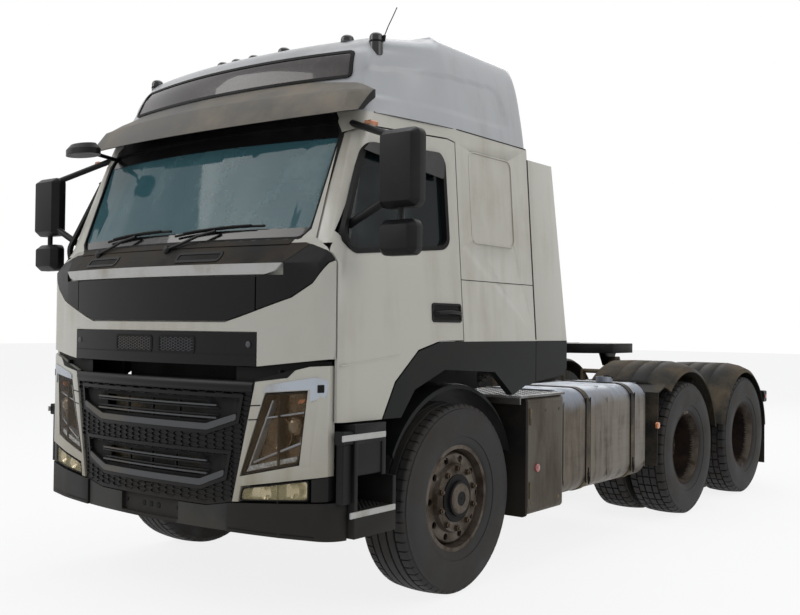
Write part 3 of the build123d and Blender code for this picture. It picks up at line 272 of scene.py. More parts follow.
ROAD_DUST = tone(120, 106, 86)
FINISHES = {
    "paint": ("white_paint", painted("cab_paint", tone(172, 170, 161), tone(136, 128, 108))),
    "roof_paint": ("white_paint", painted("roof_paint", tone(155, 157, 160), tone(132, 131, 127))),
    "black": ("dark_plastic", weathered("black_plastic", tone(17, 17, 19), tone(38, 36, 33),
                                        rough=(0.38, 0.62), cover=(0.5, 0.95), low=(0.4, 0.9))),
    "skirt": ("dark_plastic", weathered("skirt_plastic", tone(19, 21, 21), tone(42, 40, 37),
                                        rough=(0.5, 0.75), cover=(0.45, 0.9), low=(0.3, 0.8))),
    "bumper": ("dark_plastic", weathered("bumper_plastic", tone(46, 47, 47), tone(66, 64, 59),
                                         rough=(0.45, 0.7), cover=(0.45, 0.9), low=(0.3, 0.62))),
    "cowl": ("dark_plastic", weathered("dusty_cowl", tone(24, 23, 23), tone(62, 56, 48),
                                       rough=(0.5, 0.85), cover=(0.35, 0.7))),
    # painted light: the visor's sunlit top, a much lighter copy of the black plastic, with dust patches on it
    "visor_top_painted_light": ("dark_plastic", weathered("visor_painted_sunlight", tone(78, 77, 75), tone(122, 114, 102),
                                            rough=(0.45, 0.7), cover=(0.35, 0.8))),
    "grey": ("dark_plastic", weathered("mid_grey_trim", tone(78, 79, 81), tone(96, 91, 83),
                                       rough=(0.4, 0.65))),
    "silver": ("white_paint", weathered("silver_trim", tone(168, 174, 182), tone(136, 132, 124),
                                        rough=(0.25, 0.5), metallic=0.5)),
    "strip": ("white_paint", weathered("pale_strip", tone(176, 176, 174), tone(140, 132, 118),
                                       rough=(0.35, 0.6))),
    "gasket": ("dark_plastic", weathered("rubber_gasket", tone(12, 12, 12), tone(28, 27, 25),
                                         rough=(0.6, 0.85))),
    "gloss": ("roof_lamp_black", weathered("gloss_black", tone(24, 23, 24), tone(56, 52, 50),
                                           rough=(0.12, 0.4), cover=(0.5, 0.9), coat=0.6)),
    "sign": ("sign_gloss", weathered("sign_black", tone(44, 38, 40), tone(74, 66, 66), rough=(0.18, 0.4),
                                     cover=(0.35, 0.9), coat=0.5)),
    "frame": ("frame_steel", weathered("frame_paint", tone(24, 24, 24), ROAD_DUST, rough=(0.55, 0.85),
                                       cover=(0.42, 0.78), fleck=0.5, low=(0.2, 0.8))),
    "iron": ("engine_iron", weathered("dull_casting", tone(50, 50, 47), ROAD_DUST, rough=(0.6, 0.85),
                                      grain=(90, 0.0015), fleck=0.5, metallic=0.3)),
    "coupling": ("coupling_steel", weathered("greased_steel", tone(22, 21, 21), tone(46, 42, 38),
                                             rough=(0.35, 0.7), grain=(120, 0.001), metallic=0.5)),
    # tank colours: brownish sides, a lighter sky colour painted on the tops as a painted sky reflection, and darker
    # stain
    "tank": ("tank_aluminium", tank_metal("tank_sheet", tone(96, 88, 77), tone(124, 130, 140),
                                          tone(64, 56, 46))),
    "box": ("box_metal", weathered("box_sheet", tone(82, 76, 67), tone(58, 50, 42), rough=(0.45, 0.75),
                                   streak=(1, 1, 0.3), metallic=0.3)),
    "tread": ("tank_aluminium", weathered("tread_sheet", tone(112, 114, 114), tone(78, 71, 62),
                                          rough=(0.35, 0.6), metallic=0.6)),
    "guard": ("dark_plastic", weathered("guard_plastic", tone(27, 28, 27), tone(82, 73, 61),
                                        rough=(0.6, 0.9), cover=(0.38, 0.7), fleck=0.4)),
    "rubber": ("flap_rubber", weathered("flap_sheet", tone(17, 17, 18), tone(44, 40, 35),
                                        rough=(0.7, 0.9), low=(0.3, 0.9))),
    "tyre": ("tyre_rubber", tread_rubber()),
    "rim": ("wheel_steel", weathered("front_rim_steel", tone(92, 84, 76), tone(54, 45, 36),
                                     rough=(0.4, 0.75), blotch=7, cover=(0.35, 0.7), metallic=0.5)),
    "drive_rim": ("wheel_steel", weathered("drive_rim_steel", tone(26, 21, 20), tone(56, 42, 33),
                                           rough=(0.6, 0.85), blotch=9, cover=(0.4, 0.75), metallic=0.3)),
    "nut": ("wheel_steel", weathered("nut_steel", tone(78, 68, 58), tone(58, 42, 30),
                                     rough=(0.35, 0.7), blotch=20, metallic=0.7)),
    "window": ("window_glass", clear("window_tint", tone(56, 92, 100), 0.78, tone(88, 116, 120))),
    "side_window": ("window_glass", clear("side_window_tint", tone(16, 24, 26), 0.78, tone(74, 82, 84))),
    "lens": ("lamp_glass", clear("lamp_cover", tone(92, 74, 50), 0.16, tone(124, 108, 82))),
    "fog_lens": ("lamp_glass", clear("fog_cover", tone(206, 194, 150), 0.2, tone(206, 190, 146))),
    "reflector": ("lamp_glass", polished("lamp_reflector", tone(190, 178, 158), tone(130, 116, 96), 0.9)),
    "mirror": ("window_glass", polished("mirror_face", tone(196, 204, 208), tone(140, 144, 146))),
    "lamp_brown": ("lamp_glass", polished("lamp_bowl", tone(96, 78, 58), tone(62, 50, 38), 0.7, (0.15, 0.45))),
    "projector": ("lamp_glass", polished("projector_glass", tone(120, 106, 86), tone(86, 72, 56), 0.6,
                                         (0.08, 0.25))),
    "amber": ("lamp_glass", ribbed_lens("amber_lens", tone(214, 120, 36), tone(120, 52, 14))),
    "red": ("lamp_glass", ribbed_lens("red_lens", tone(168, 34, 26), tone(74, 10, 10))),
    "white_lens": ("lamp_glass", ribbed_lens("clear_lens", tone(206, 208, 206), tone(110, 112, 110))),
    "cloth": ("seat_fabric", woven("seat_cloth", tone(98, 98, 102), tone(52, 52, 56))),
    "bedding": ("seat_fabric", woven("bunk_cloth", tone(128, 124, 116), tone(84, 80, 76))),
    "dash": ("dark_plastic", weathered("dash_moulding", tone(70, 68, 66), tone(96, 92, 86),
                                       rough=(0.55, 0.75), grain=(500, 0.0006))),
    "lining": ("dark_plastic", weathered("cab_lining", tone(84, 84, 82), tone(70, 68, 64),
                                         rough=(0.7, 0.9))),
}


# ---------------------------------------- making pieces
def show(name, form, finish, body, sharp=32):
    """Turns a bmesh into a piece that rides on a body."""
    mesh = bpy.data.meshes.new(name)
    bmesh.ops.recalc_face_normals(form, faces=form.faces)
    form.to_mesh(mesh)
    form.free()
    mesh.shade_smooth()
    mesh.set_sharp_from_angle(angle=math.radians(sharp))
    slot, material = FINISHES[finish]
    mesh.materials.append(material)
    made = bpy.data.objects.new(name, mesh)
    bpy.context.scene.collection.objects.link(made)
    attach(made, body)
    return made


def body_of(node):
    """The moving body that a node of the part belongs to."""
    for body, nodes in frame["record"]["behaviour"]["bodies"].items():
        if node in nodes:
            return body
    raise ValueError(node)


def softened(node, finish, width=0.0, sharp=32, steps=2):
    """A welded copy of a CAD node with rounded edges, which stands for it."""
    form = bmesh.new()
    form.from_mesh(frame["nodes"][node].data)
    bmesh.ops.remove_doubles(form, verts=form.verts, dist=3e-5)
    bmesh.ops.dissolve_limit(form, angle_limit=math.radians(0.6), verts=form.verts, edges=form.edges)
    if width:
        edges = [e for e in form.edges if e.is_manifold and e.calc_face_angle(0) > math.radians(30)]
        bmesh.ops.bevel(form, geom=edges, offset=width, segments=steps, profile=0.6, clamp_overlap=True,
                        affect="EDGES")
    made = show(node + "_form", form, finish, body_of(node), sharp)
    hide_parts(node)
    return made


@contextmanager
def piece(name, finish, body="chassis", sharp=30, stands_for=None):
    """A new form, shown when the block under it ends. It may stand for a node of the part."""
    form = bmesh.new()
    yield form
    made = show(name, form, finish, body, sharp)
    if stands_for:
        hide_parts(stands_for)


def ring(form, points):
    return [form.verts.new(p) for p in points]


def bridge(form, first, second, closed=True):
    count = len(first)
    for i in range(count if closed else count - 1):
        j = (i + 1) % count
        form.faces.new((first[i], first[j], second[j], second[i]))


def prism(form, outline, lift):
    """Solid between an outline and the same outline moved by lift."""
    low = ring(form, outline)
    high = ring(form, [Vector(p) + Vector(lift) for p in outline])
    form.faces.new(low)
    form.faces.new(list(reversed(high)))
    bridge(form, low, high)


def block(form, low, high, chamfer=0.0):
    """Box between two corners, its four long edges cut off along its longest side."""
    size = [b - a for a, b in zip(low, high)]
    along = size.index(max(size))
    u, v = [k for k in range(3) if k != along]
    c = min(chamfer, size[u] / 2.1, size[v] / 2.1)
    corners = [(low[u] + c, low[v]), (high[u] - c, low[v]), (high[u], low[v] + c), (high[u], high[v] - c),
               (high[u] - c, high[v]), (low[u] + c, high[v]), (low[u], high[v] - c), (low[u], low[v] + c)]
    if c == 0:
        corners = [(low[u], low[v]), (high[u], low[v]), (high[u], high[v]), (low[u], high[v])]
    outline = []
    for a, b in corners:
        point = [0.0, 0.0, 0.0]
        point[u], point[v], point[along] = a, b, low[along]
        outline.append(point)
    lift = [0.0, 0.0, 0.0]
    lift[along] = size[along]
    prism(form, outline, lift)


def set_block(form, low, high, chamfer=0.0, sign=1):
    """Block between corners given as x, distance behind the front axle and height, on the side that sign says."""
    x0, x1 = sorted((sign * low[0], sign * high[0]))
    block(form, at(x0, *low[1:]), at(x1, *high[1:]), chamfer)


def plate(form, outline, distance, thickness):
    """Flat plate square to the unit's length, from an outline in x and height."""
    prism(form, [at(p.x, distance, p.y) for p in outline], (0, thickness, 0))


def across(direction):
    """Two unit vectors square to a direction."""
    direction = Vector(direction).normalized()
    other = Vector((0, 0, 1)) if abs(direction.z) < 0.9 else Vector((1, 0, 0))
    u = direction.cross(other).normalized()
    return u, direction.cross(u).normalized()


def tube(form, path, radius, sides=10):
    """Round bar along a path of points, with closed ends."""
    path = [Vector(p) for p in path]
    rings = []
    for i, point in enumerate(path):
        run = (path[min(i + 1, len(path) - 1)] - path[max(i - 1, 0)]).normalized()
        u, v = across(run)
        if rings:
            u = (last_u - run * last_u.dot(run)).normalized()
            v = run.cross(u)
        last_u = u
        rings.append(ring(form, [point + radius * (math.cos(a) * u + math.sin(a) * v)
                                 for a in (2 * math.pi * k / sides for k in range(sides))]))
    for a, b in zip(rings, rings[1:]):
        bridge(form, a, b)
    form.faces.new(rings[0])
    form.faces.new(list(reversed(rings[-1])))


def lathe(form, profile, centre, axis=(1, 0, 0), steps=32):
    """Turned form from (distance along the axis, radius) points, closed at both ends."""
    centre, axis = Vector(centre), Vector(axis).normalized()
    u, v = across(axis)
    rings = []
    for along, radius in profile:
        rings.append(ring(form, [centre + axis * along + max(radius, 1e-5) * (math.cos(a) * u + math.sin(a) * v)
                                 for a in (2 * math.pi * k / steps for k in range(steps))]))
    for a, b in zip(rings, rings[1:]):
        bridge(form, a, b)
    form.faces.new(rings[0])
    form.faces.new(list(reversed(rings[-1])))


def oblong(x0, y0, x1, y1):
    """Outline of a rectangle."""
    return [(x0, y0), (x1, y0), (x1, y1), (x0, y1)]


def rounded_outline(points, radius, steps=4):
    """Closed plane outline with its corners rounded."""
    points = [Vector((p[0], p[1])) for p in points]
    made = []
    count = len(points)
    for i, corner in enumerate(points):
        before, after = points[i - 1] - corner, points[(i + 1) % count] - corner
        reach = min(radius, before.length / 2.05, after.length / 2.05)
        start, end = corner + before.normalized() * reach, corner + after.normalized() * reach
        for k in range(steps + 1):
            t = k / steps
            made.append((1 - t) ** 2 * start + 2 * t * (1 - t) * corner + t ** 2 * end)
    return made


def inside(point, outline):
    """Whether a point lies in a closed plane outline."""
    x, y = point
    hit = False
    for i in range(len(outline)):
        (x0, y0), (x1, y1) = outline[i - 1], outline[i]
        if (y0 > y) != (y1 > y) and x < (x1 - x0) * (y - y0) / (y1 - y0) + x0:
            hit = not hit
    return hit


def shrunk(outline, amount):
    """Closed outline moved inwards by an amount, for outlines without very short edges."""
    points = [Vector((p[0], p[1])) for p in outline]
    area = sum(a.x * b.y - b.x * a.y for a, b in zip(points, points[1:] + points[:1]))
    turn = 1 if area > 0 else -1
    made = []
    for i, corner in enumerate(points):
        first = (corner - points[i - 1]).normalized()
        second = (points[(i + 1) % len(points)] - corner).normalized()
        n0, n1 = Vector((-first.y, first.x)) * turn, Vector((-second.y, second.x)) * turn
        middle = (n0 + n1).normalized()
        made.append(corner + middle * amount / max(0.35, middle.dot(n0)))
    return made


def sheet_on(form, outline, surface, near, far, pitch=0.05, holes=()):
    """Plate that follows a surface: outline in two sizes a, b, and surface(a, b, depth) gives its place.

    near and far are the depths of its two faces."""
    loops = [[Vector(p) for p in outline]] + [[Vector(p) for p in hole] for hole in holes]
    points, edges = [], []
    for loop in loops:
        dense = []
        for i, a in enumerate(loop):
            b = loop[(i + 1) % len(loop)]
            parts = max(1, int((b - a).length / pitch))
            dense += [a.lerp(b, k / parts) for k in range(parts)]
        start = len(points)
        points += dense
        edges += [(start + i, start + (i + 1) % len(dense)) for i in range(len(dense))]
    xs, ys = [p.x for p in loops[0]], [p.y for p in loops[0]]
    for i in range(1, int((max(xs) - min(xs)) / pitch) + 1):
        for j in range(1, int((max(ys) - min(ys)) / pitch) + 1):
            point = Vector((min(xs) + i * pitch, min(ys) + j * pitch))
            if inside(point, loops[0]) and not any(inside(point, hole) for hole in loops[1:]):
                if all((point - p).length > pitch * 0.4 for p in points[:4000]):
                    points.append(point)
    flat, _, triangles, _, _, _ = delaunay_2d_cdt(points, edges, [], 1, 1e-6)
    triangles = [t for t in triangles
                 if not any(inside(sum((flat[k] for k in t), Vector((0, 0))) / 3, hole) for hole in loops[1:])]
    face = ring(form, [surface(p.x, p.y, near) for p in flat])
    back = ring(form, [surface(p.x, p.y, far) for p in flat])
    border = {}
    for t in triangles:
        form.faces.new([face[k] for k in t])
        form.faces.new([back[k] for k in reversed(t)])
        for a, b in ((t[0], t[1]), (t[1], t[2]), (t[2], t[0])):
            if (b, a) in border:
                del border[(b, a)]
            else:
                border[(a, b)] = True
    for a, b in border:
        form.faces.new((face[b], face[a], back[a], back[b]))
    loose = [v for v in form.verts if not v.link_faces]
    bmesh.ops.delete(form, geom=loose, context="VERTS")


# ---------------------------------------- shape of the cab, as in the part
# mm: height, front at the middle, x and distance of four points round the corner, half width
CAB_SECTIONS = [
    (450, -1250, 890, -1155, 1070, -1102, 1142, -1057, 1175, -980, 1245),
    (1420, -1250, 890, -1155, 1070, -1102, 1142, -1057, 1175, -980, 1245),
    (1800, -1250, 890, -1155, 1070, -1102, 1141, -1057, 1168, -980, 1219),
    (1930, -1135, 960, -1025, 1060, -1000, 1122, -968, 1148, -905, 1210),
    (2600, -880, 965, -765, 1000, -757, 1040, -735, 1065, -690, 1165),
    (2800, -775, 911, -668, 950, -658, 985, -635, 1005, -590, 1135),
    (2985, -690, 867, -578, 905, -566, 935, -543, 950, -500, 1095),
    (3075, -560, 810, -470, 860, -460, 900, -435, 918, -395, 1060),
    (3110, -390, 700, -330, 760, -320, 800, -300, 825, -260, 1035),
    (3145, -165, 560, -145, 620, -142, 660, -135, 690, -120, 985),
]
SIDE_KNEE = -0.090
CAB_REAR = 0.700


def section_row(z):
    """Section sizes at a height: the front's middle, four points round the corner, half the width."""
    z = min(max(z * 1000, 450), 3145)
    for low, high in zip(CAB_SECTIONS, CAB_SECTIONS[1:]):
        if z <= high[0]:
            t = (z - low[0]) / (high[0] - low[0])
            return [(a + t * (b - a)) / 1000 for a, b in zip(low[1:], high[1:])]


def bowed(middle, x1, y1, x):
    """Distance at x of an arc across the front, from its middle and its end at x1, y1."""
    rise = y1 - middle
    radius = (x1 * x1 + rise * rise) / (2 * rise)
    return middle + radius - math.sqrt(radius * radius - x * x)


def front(x, z, depth=0.0):
    """Point of the cab's front at a width and height, this far inside it."""
    middle, x1, y1, x2, y2, x3, y3, x4, y4, _ = section_row(z)
    side = abs(x)
    if side <= x1:
        y = bowed(middle, x1, y1, side)
    elif side <= x2:
        y = y1 + (y2 - y1) * (side - x1) / (x2 - x1)
    elif side <= x3:
        y = y2 + (y3 - y2) * ((side - x2) / (x3 - x2)) ** 1.25
    else:
        y = y3 + (y4 - y3) * min(1.0, (side - x3) / max(1e-6, x4 - x3)) ** 1.3
    return at(x, y + depth, z)


def flank(sign):
    """Surface of one side of the cab, as a function of distance behind the axle, height and depth."""
    def place(y, z, depth=0.0):
        x4, y4, half = section_row(z)[-3:]
        t = min(1.0, max(0.0, (y - y4) / (SIDE_KNEE - y4)))
        return at(sign * (x4 + (half - x4) * t - depth), y, z)
    return place


def sign_points(points, sign):
    """Points on the side that sign says."""
    return [(sign * x, z) for x, z in points]


def facing(name, outline, near, far, finish, holes=(), body="chassis", pitch=0.05, stands_for=None):
    """Piece of sheet on the cab's front."""
    with piece(name, finish, body, stands_for=stands_for) as form:
        sheet_on(form, outline, front, near, far, pitch, holes)


def siding(name, outline, sign, near, far, finish, body, holes=(), pitch=0.07):
    """Piece of sheet on the cab's side."""
    with piece(name, finish, body) as form:
        sheet_on(form, outline, flank(sign), near, far, pitch, holes)


# ---------------------------------------- finishes and rounded edges on the part's own pieces
# node, finish, edge width
STANDING = [
    ("frame_rails", "frame", 0), ("crossmembers", "frame", 0), ("engine", "iron", 0.012), ("front_axle", "frame", 0),
    ("drive_axles", "frame", 0), ("leaf_springs", "frame", 0), ("front_bumper", "black", 0.004),
    ("lower_grille", "black", 0), ("corner_panels", "paint", 0.002), ("step_boxes", "black", 0.003),
    ("fuel_tanks", "tank", 0.002), ("side_boxes", "box", 0.003), ("tank_brackets", "frame", 0),
    ("mudguards", "guard", 0), ("mud_flaps", "rubber", 0), ("tail_lamps", "black", 0),
    ("fifth_wheel_base", "frame", 0), ("deck_plate", "tread", 0), ("cab_shell", "paint", 0),
    ("vent_panel", "black", 0), ("front_panel", "paint", 0), ("front_trim", "black", 0),
    ("cowl_panel", "cowl", 0), ("windscreen", "window", 0), ("cab_arches", "skirt", 0),
    ("side_extensions", "paint", 0.003), ("sun_visor", "black", 0.004), ("roof_lamps", "gloss", 0),
    ("kerb_mirror", "black", 0),
    ("tilt_arms", "frame", 0), ("dashboard", "dash", 0.006), ("front_lid", "black", 0), ("door_left", "paint", 0),
    ("door_right", "paint", 0), ("door_glass_left", "side_window", 0), ("door_glass_right", "side_window", 0),
    ("mirror_left", "black", 0.004), ("mirror_right", "black", 0.004), ("knuckle_left", "frame", 0),
    ("knuckle_right", "frame", 0), ("front_rim_left", "rim", 0), ("front_rim_right", "rim", 0),
    ("first_drive_rims_left", "drive_rim", 0), ("first_drive_rims_right", "drive_rim", 0),
    ("second_drive_rims_left", "drive_rim", 0), ("second_drive_rims_right", "drive_rim", 0),
    ("fifth_wheel", "coupling", 0.003),
]
forms = {node: softened(node, finish, width) for node, finish, width in STANDING}


def second_finish(node, finish, chosen):
    """Faces of a form that a test picks get another finish."""
    mesh = forms[node].data
    mesh.materials.append(FINISHES[finish][1])
    for face in mesh.polygons:
        if chosen(face.center, face.normal):
            face.material_index = 1


def within_cab(centre, normal):
    """Faces on the inner side of the cab's wall."""
    if centre.y > aft(CAB_REAR - 0.03):
        return False
    side = flank(1)(centre.y - FRONT_AXLE_Y, centre.z).x
    return abs(centre.x) < side - 0.05 and centre.y > front(min(abs(centre.x), side), centre.z).y + 0.055


for node in ("cab_shell", "door_left", "door_right"):
    second_finish(node, "lining", within_cab)
second_finish("lower_grille", "gasket", lambda c, n: c.y > front(c.x, c.z).y + 0.0235)
second_finish("front_bumper", "bumper", lambda c, n: 0.235 < abs(c.x) < 0.572)
for side in SIDES:
    for axle, distance in (("first", FIRST_DRIVE), ("second", SECOND_DRIVE)):
        second_finish(f"{axle}_drive_rims_{side}", "rim",
                      lambda c, n, middle=aft(distance): math.hypot(c.y - middle, c.z - AXLE_Z) > 0.262)
# painted light: the visor's upward faces get the lighter, sunlit copy of its black plastic
second_finish("sun_visor", "visor_top_painted_light", lambda c, n: n.z > 0.3)
second_finish("cowl_panel", "strip", lambda c, n: 1.744 < c.z < 1.801 and c.y < front(c.x, c.z).y + 0.012)
second_finish("tail_lamps", "red", lambda c, n: n.y > 0.8)
second_finish("mudguards", "frame", lambda c, n: abs(c.x) < 0.57)

# ---------------------------------------- tyres and wheels
# distance across from the tyre's middle, radius
TYRE_PROFILE = [(0.112, 0.292), (0.128, 0.298), (0.136, 0.312), (0.145, 0.335), (0.1452, 0.345), (0.1495, 0.346),
                (0.154, 0.375), (0.1565, 0.410), (0.1565, 0.440), (0.1535, 0.470), (0.149, 0.492), (0.1495, 0.500),
                (0.143, 0.503), (0.140, 0.516), (0.130, 0.5265)]
TYRE_RADIUS, TREAD_HALF_WIDTH, TREAD_CROWN = 0.535, 0.130, 0.0085
RIB_EDGES = [0.122, 0.087, 0.084, 0.077, 0.074, 0.036, 0.033, 0.026, 0.023]
GROOVE_FLOORS = (2, 3, 6, 7)               # the rib edges that lie at the bottom of a groove
GROOVE_DEPTH = 0.015
SHOULDER, CENTRE_BLOCKS = 0.086, 0.022     # across the tread, where the notches begin and the middle rib ends
# share of a tread block's pitch, and what is cut there: nothing, a shoulder notch or a centre notch
PLAIN, SHOULDER_CUT, CENTRE_CUT = 0, 1, 2
BLOCK_STATIONS = [(0.0, PLAIN), (0.03, SHOULDER_CUT), (0.15, SHOULDER_CUT), (0.18, PLAIN), (0.5, PLAIN),
                  (0.53, CENTRE_CUT), (0.65, CENTRE_CUT), (0.68, PLAIN)]


def tread_radius(x):
    return TYRE_RADIUS - TREAD_CROWN * (abs(x) / TREAD_HALF_WIDTH) ** 2


def notched(x, radius, state, drive):
    """Radius of the tread where a notch crosses it."""
    side = abs(x)
    cut = 0.0
    if radius > 0.51 and state == SHOULDER_CUT and side > SHOULDER:
        cut = 0.013 if drive else 0.006
    elif radius > 0.52 and state == CENTRE_CUT and CENTRE_BLOCKS < side < SHOULDER:
        cut = 0.010
    return min(radius, max(radius - cut, 0.500)) if cut else radius


def tyre(form, centre, blocks, drive):
    """Tyre with ribs and grooves round it and notches or block gaps across it."""
    half = TYRE_PROFILE + [(x, tread_radius(x) - (GROOVE_DEPTH if k in GROOVE_FLOORS else 0))
                           for k, x in enumerate(RIB_EDGES)]
    profile = half + [(-x, r) for x, r in reversed(half)]
    rings = []
    for k in range(blocks):
        for part, state in BLOCK_STATIONS:
            if state == CENTRE_CUT and not drive:
                continue
            angle = (k + part) * 2 * math.pi / blocks
            rings.append(ring(form, [centre + Vector((x, notched(x, r, state, drive) * math.cos(angle),
                                                      notched(x, r, state, drive) * math.sin(angle)))
                                     for x, r in profile]))
    for first, second in zip(rings, rings[1:] + rings[:1]):
        bridge(form, first, second, closed=False)
        form.faces.new((first[-1], first[0], second[0], second[-1]))


NUT = [(0, 0.021), (0.004, 0.021), (0.005, 0.0175), (0.018, 0.0175), (0.021, 0.014), (0.021, 0.010), (0.027, 0.010),
       (0.028, 0.008)]
HUB_BOLT = [(0, 0.011), (0.007, 0.011), (0.009, 0.008)]
HUB_CAP = [(0, 0.040), (0, 0.078), (0.006, 0.0785), (0.018, 0.072), (0.022, 0.060), (0.022, 0.012), (0.019, 0.008)]
HUB_COVER = [(0, 0.134), (0.006, 0.133), (0.008, 0.100), (0.025, 0.098), (0.0265, 0.060)]
NUT_RING, VALVE_REACH = 0.1675, 0.225
# axle, its tyres in the part, distance behind the front axle, middles of the tyres, tread blocks, x of the nuts'
# face, x of the hub's face, radius of the hub's ring of bolts
WHEELS = [("front", "front_tyre", 0.0, (1.020,), 60, 1.144, 1.170, 0.068),
          ("first_drive", "first_drive_tyres", FIRST_DRIVE, (1.096, 0.746), 44, 0.936, 1.081, 0.088),
          ("second_drive", "second_drive_tyres", SECOND_DRIVE, (1.096, 0.746), 44, 0.936, 1.081, 0.088)]


def bolt_ring(form, profile, count, reach, x, distance, sign, shift=0.0):
    """Six-sided turned pieces spaced round an axle's end."""
    for k in range(count):
        angle = 2 * math.pi * (k + shift) / count
        lathe(form, profile, at(x, distance + reach * math.cos(angle), AXLE_Z + reach * math.sin(angle)),
              (sign, 0, 0), 6)


for axle, tyres, distance, middles, blocks, nut_face, hub_face, hub_ring in WHEELS:
    for side, sign in SIDES.items():
        body = body_of(f"{tyres}_{side}")
        for k, middle in enumerate(middles):
            with piece(f"{axle}_tyre_{side}_{k + 1}", "tyre", body, 40, f"{tyres}_{side}") as form:
                tyre(form, at(sign * middle, distance, AXLE_Z), blocks, len(middles) > 1)
        with piece(f"{axle}_nuts_{side}", "nut", body, 20) as form:
            bolt_ring(form, NUT, 10, NUT_RING, sign * nut_face, distance, sign, 0.5)
        with piece(f"{axle}_hub_bolts_{side}", "nut", body, 20) as form:
            bolt_ring(form, HUB_BOLT, 8, hub_ring, sign * hub_face, distance, sign)
            valve = at(sign * (nut_face + 0.004), distance, AXLE_Z + VALVE_REACH)
            tube(form, [valve, valve + Vector((sign * 0.02, 0, -0.012)), valve + Vector((sign * 0.028, 0, -0.04))],
                 0.004, 8)
        if axle == "front":
            with piece(f"front_hub_cap_{side}", "gasket", body) as form:
                lathe(form, HUB_CAP, at(1.154 * sign, distance, AXLE_Z), (sign, 0, 0), 40)
                lathe(form, HUB_COVER, at(1.146 * sign, distance, AXLE_Z), (sign, 0, 0), 40)

# ---------------------------------------- lower grille: honeycomb, roll and edges
# right-hand halves of outlines on the cab's front, x and height, from the bottom up
HONEYCOMB_FIELD = [(0.440, 0.600), (0.600, 0.628), (0.722, 1.158)]
INSERTS = [[(0.400, 0.668), (0.560, 0.728), (0.585, 0.852)],
           [(0.440, 0.952), (0.632, 1.012), (0.656, 1.136)]]
GRILLE_CELL, VENT_CELL = (0.038, 0.0125), (0.013, 0.0075)    # half width and half height of a cell
HEXAGON = [(-1, 0), (-0.5, -1), (0.5, -1), (1, 0), (0.5, 1), (-0.5, 1)]


def both(points):
    """An outline's half and its mirror image."""
    return points + [(-x, z) for x, z in reversed(points)]


def cell_wall(form, a, b, depth, wall, lift):
    """One raised wall of a lattice, narrower at its top."""
    along = Vector((b[0] - a[0], b[1] - a[1])).normalized()
    off = Vector((-along.y, along.x)) * wall / 2
    rings = []
    for share, level in ((1.0, depth + 0.002), (0.6, depth - lift)):
        rings.append(ring(form, [front(p[0] + s * off.x * share, p[1] + s * off.y * share, level)
                                 for p, s in ((a, 1), (b, 1), (b, -1), (a, -1))]))
    bridge(form, *rings)
    form.faces.new(rings[1])
    form.faces.new(list(reversed(rings[0])))


def honeycomb(form, outline, holes, depth, cell, wall, lift):
    """Raised hexagon lattice on the front surface, kept inside an outline and outside holes."""
    dx, dz = cell[0] * 1.5, cell[1] * 2
    xs, zs = [p[0] for p in outline], [p[1] for p in outline]
    seen = set()
    for i in range(int(min(xs) / dx) - 1, int(max(xs) / dx) + 2):
        for j in range(int(min(zs) / dz) - 1, int(max(zs) / dz) + 2):
            cx, cz = i * dx, j * dz + (cell[1] if i % 2 else 0)
            corners = [(cx + cell[0] * a, cz + cell[1] * b) for a, b in HEXAGON]
            for a, b in zip(corners, corners[1:] + corners[:1]):
                key = tuple(sorted(((round(a[0], 4), round(a[1], 4)), (round(b[0], 4), round(b[1], 4)))))
                kept = all(inside(p, outline) and not any(inside(p, hole) for hole in holes) for p in (a, b))
                if kept and key not in seen:
                    seen.add(key)
                    cell_wall(form, a, b, depth, wall, lift)


with piece("grille_honeycomb", "black") as form:
    honeycomb(form, shrunk(both(HONEYCOMB_FIELD), -0.012), [shrunk(both(o), 0.022) for o in INSERTS], 0.014,
              GRILLE_CELL, 0.005, 0.007)
ROLL_HALF, ROLL_Z, ROLL_HALF_HEIGHT, ROLL_BACK = 0.728, 1.188, 0.027, 0.014
with piece("grille_top_roll", "black", sharp=50) as form:
    section = [(ROLL_Z + ROLL_HALF_HEIGHT * t, -0.0058 + 0.012 * t * t) for t in (k / 4 - 1 for k in range(9))]
    section += [(ROLL_Z + ROLL_HALF_HEIGHT, ROLL_BACK), (ROLL_Z - ROLL_HALF_HEIGHT, ROLL_BACK)]
    rows = [ring(form, [front(ROLL_HALF * (j / 20 - 1), z, depth) for j in range(41)]) for z, depth in section]
    for a, b in zip(rows, rows[1:] + rows[:1]):
        bridge(form, a, b, closed=False)
    form.faces.new([row[0] for row in rows])
    form.faces.new([row[-1] for row in reversed(rows)])

for k, outline in enumerate(INSERTS):
    facing(f"grille_insert_rim_{k + 1}", shrunk(both(outline), -0.012), 0.004, 0.030, "black",
           [shrunk(both(outline), 0.006)], pitch=0.08)
    (x0, z0), (x1, z1), _ = outline
    lower = [(0.0, z0 + 0.008), (x0, z0 + 0.008), (x1 - 0.006, z1 + 0.008)]
    upper = [(x1 - 0.004, z1 + 0.040), (x0 - 0.008, z0 + 0.040), (0.0, z0 + 0.040)]
    bar = [(-x, z) for x, z in lower[:0:-1]] + lower + upper + [(-x, z) for x, z in upper[-2::-1]]
    facing(f"grille_smile_bar_{k + 1}", rounded_outline(bar, 0.012, 3), 0.001, 0.012, "grey", pitch=0.06)

# height of a louvre's edge, half its length
LOUVRES = [(0.738, 0.43), (0.802, 0.43), (1.022, 0.49), (1.086, 0.49)]
with piece("grille_louvre_edges", "grey") as form:
    for z, half in LOUVRES:
        sheet_on(form, oblong(-half, z - 0.004, half, z + 0.004), front, 0.012, 0.022, 0.07)

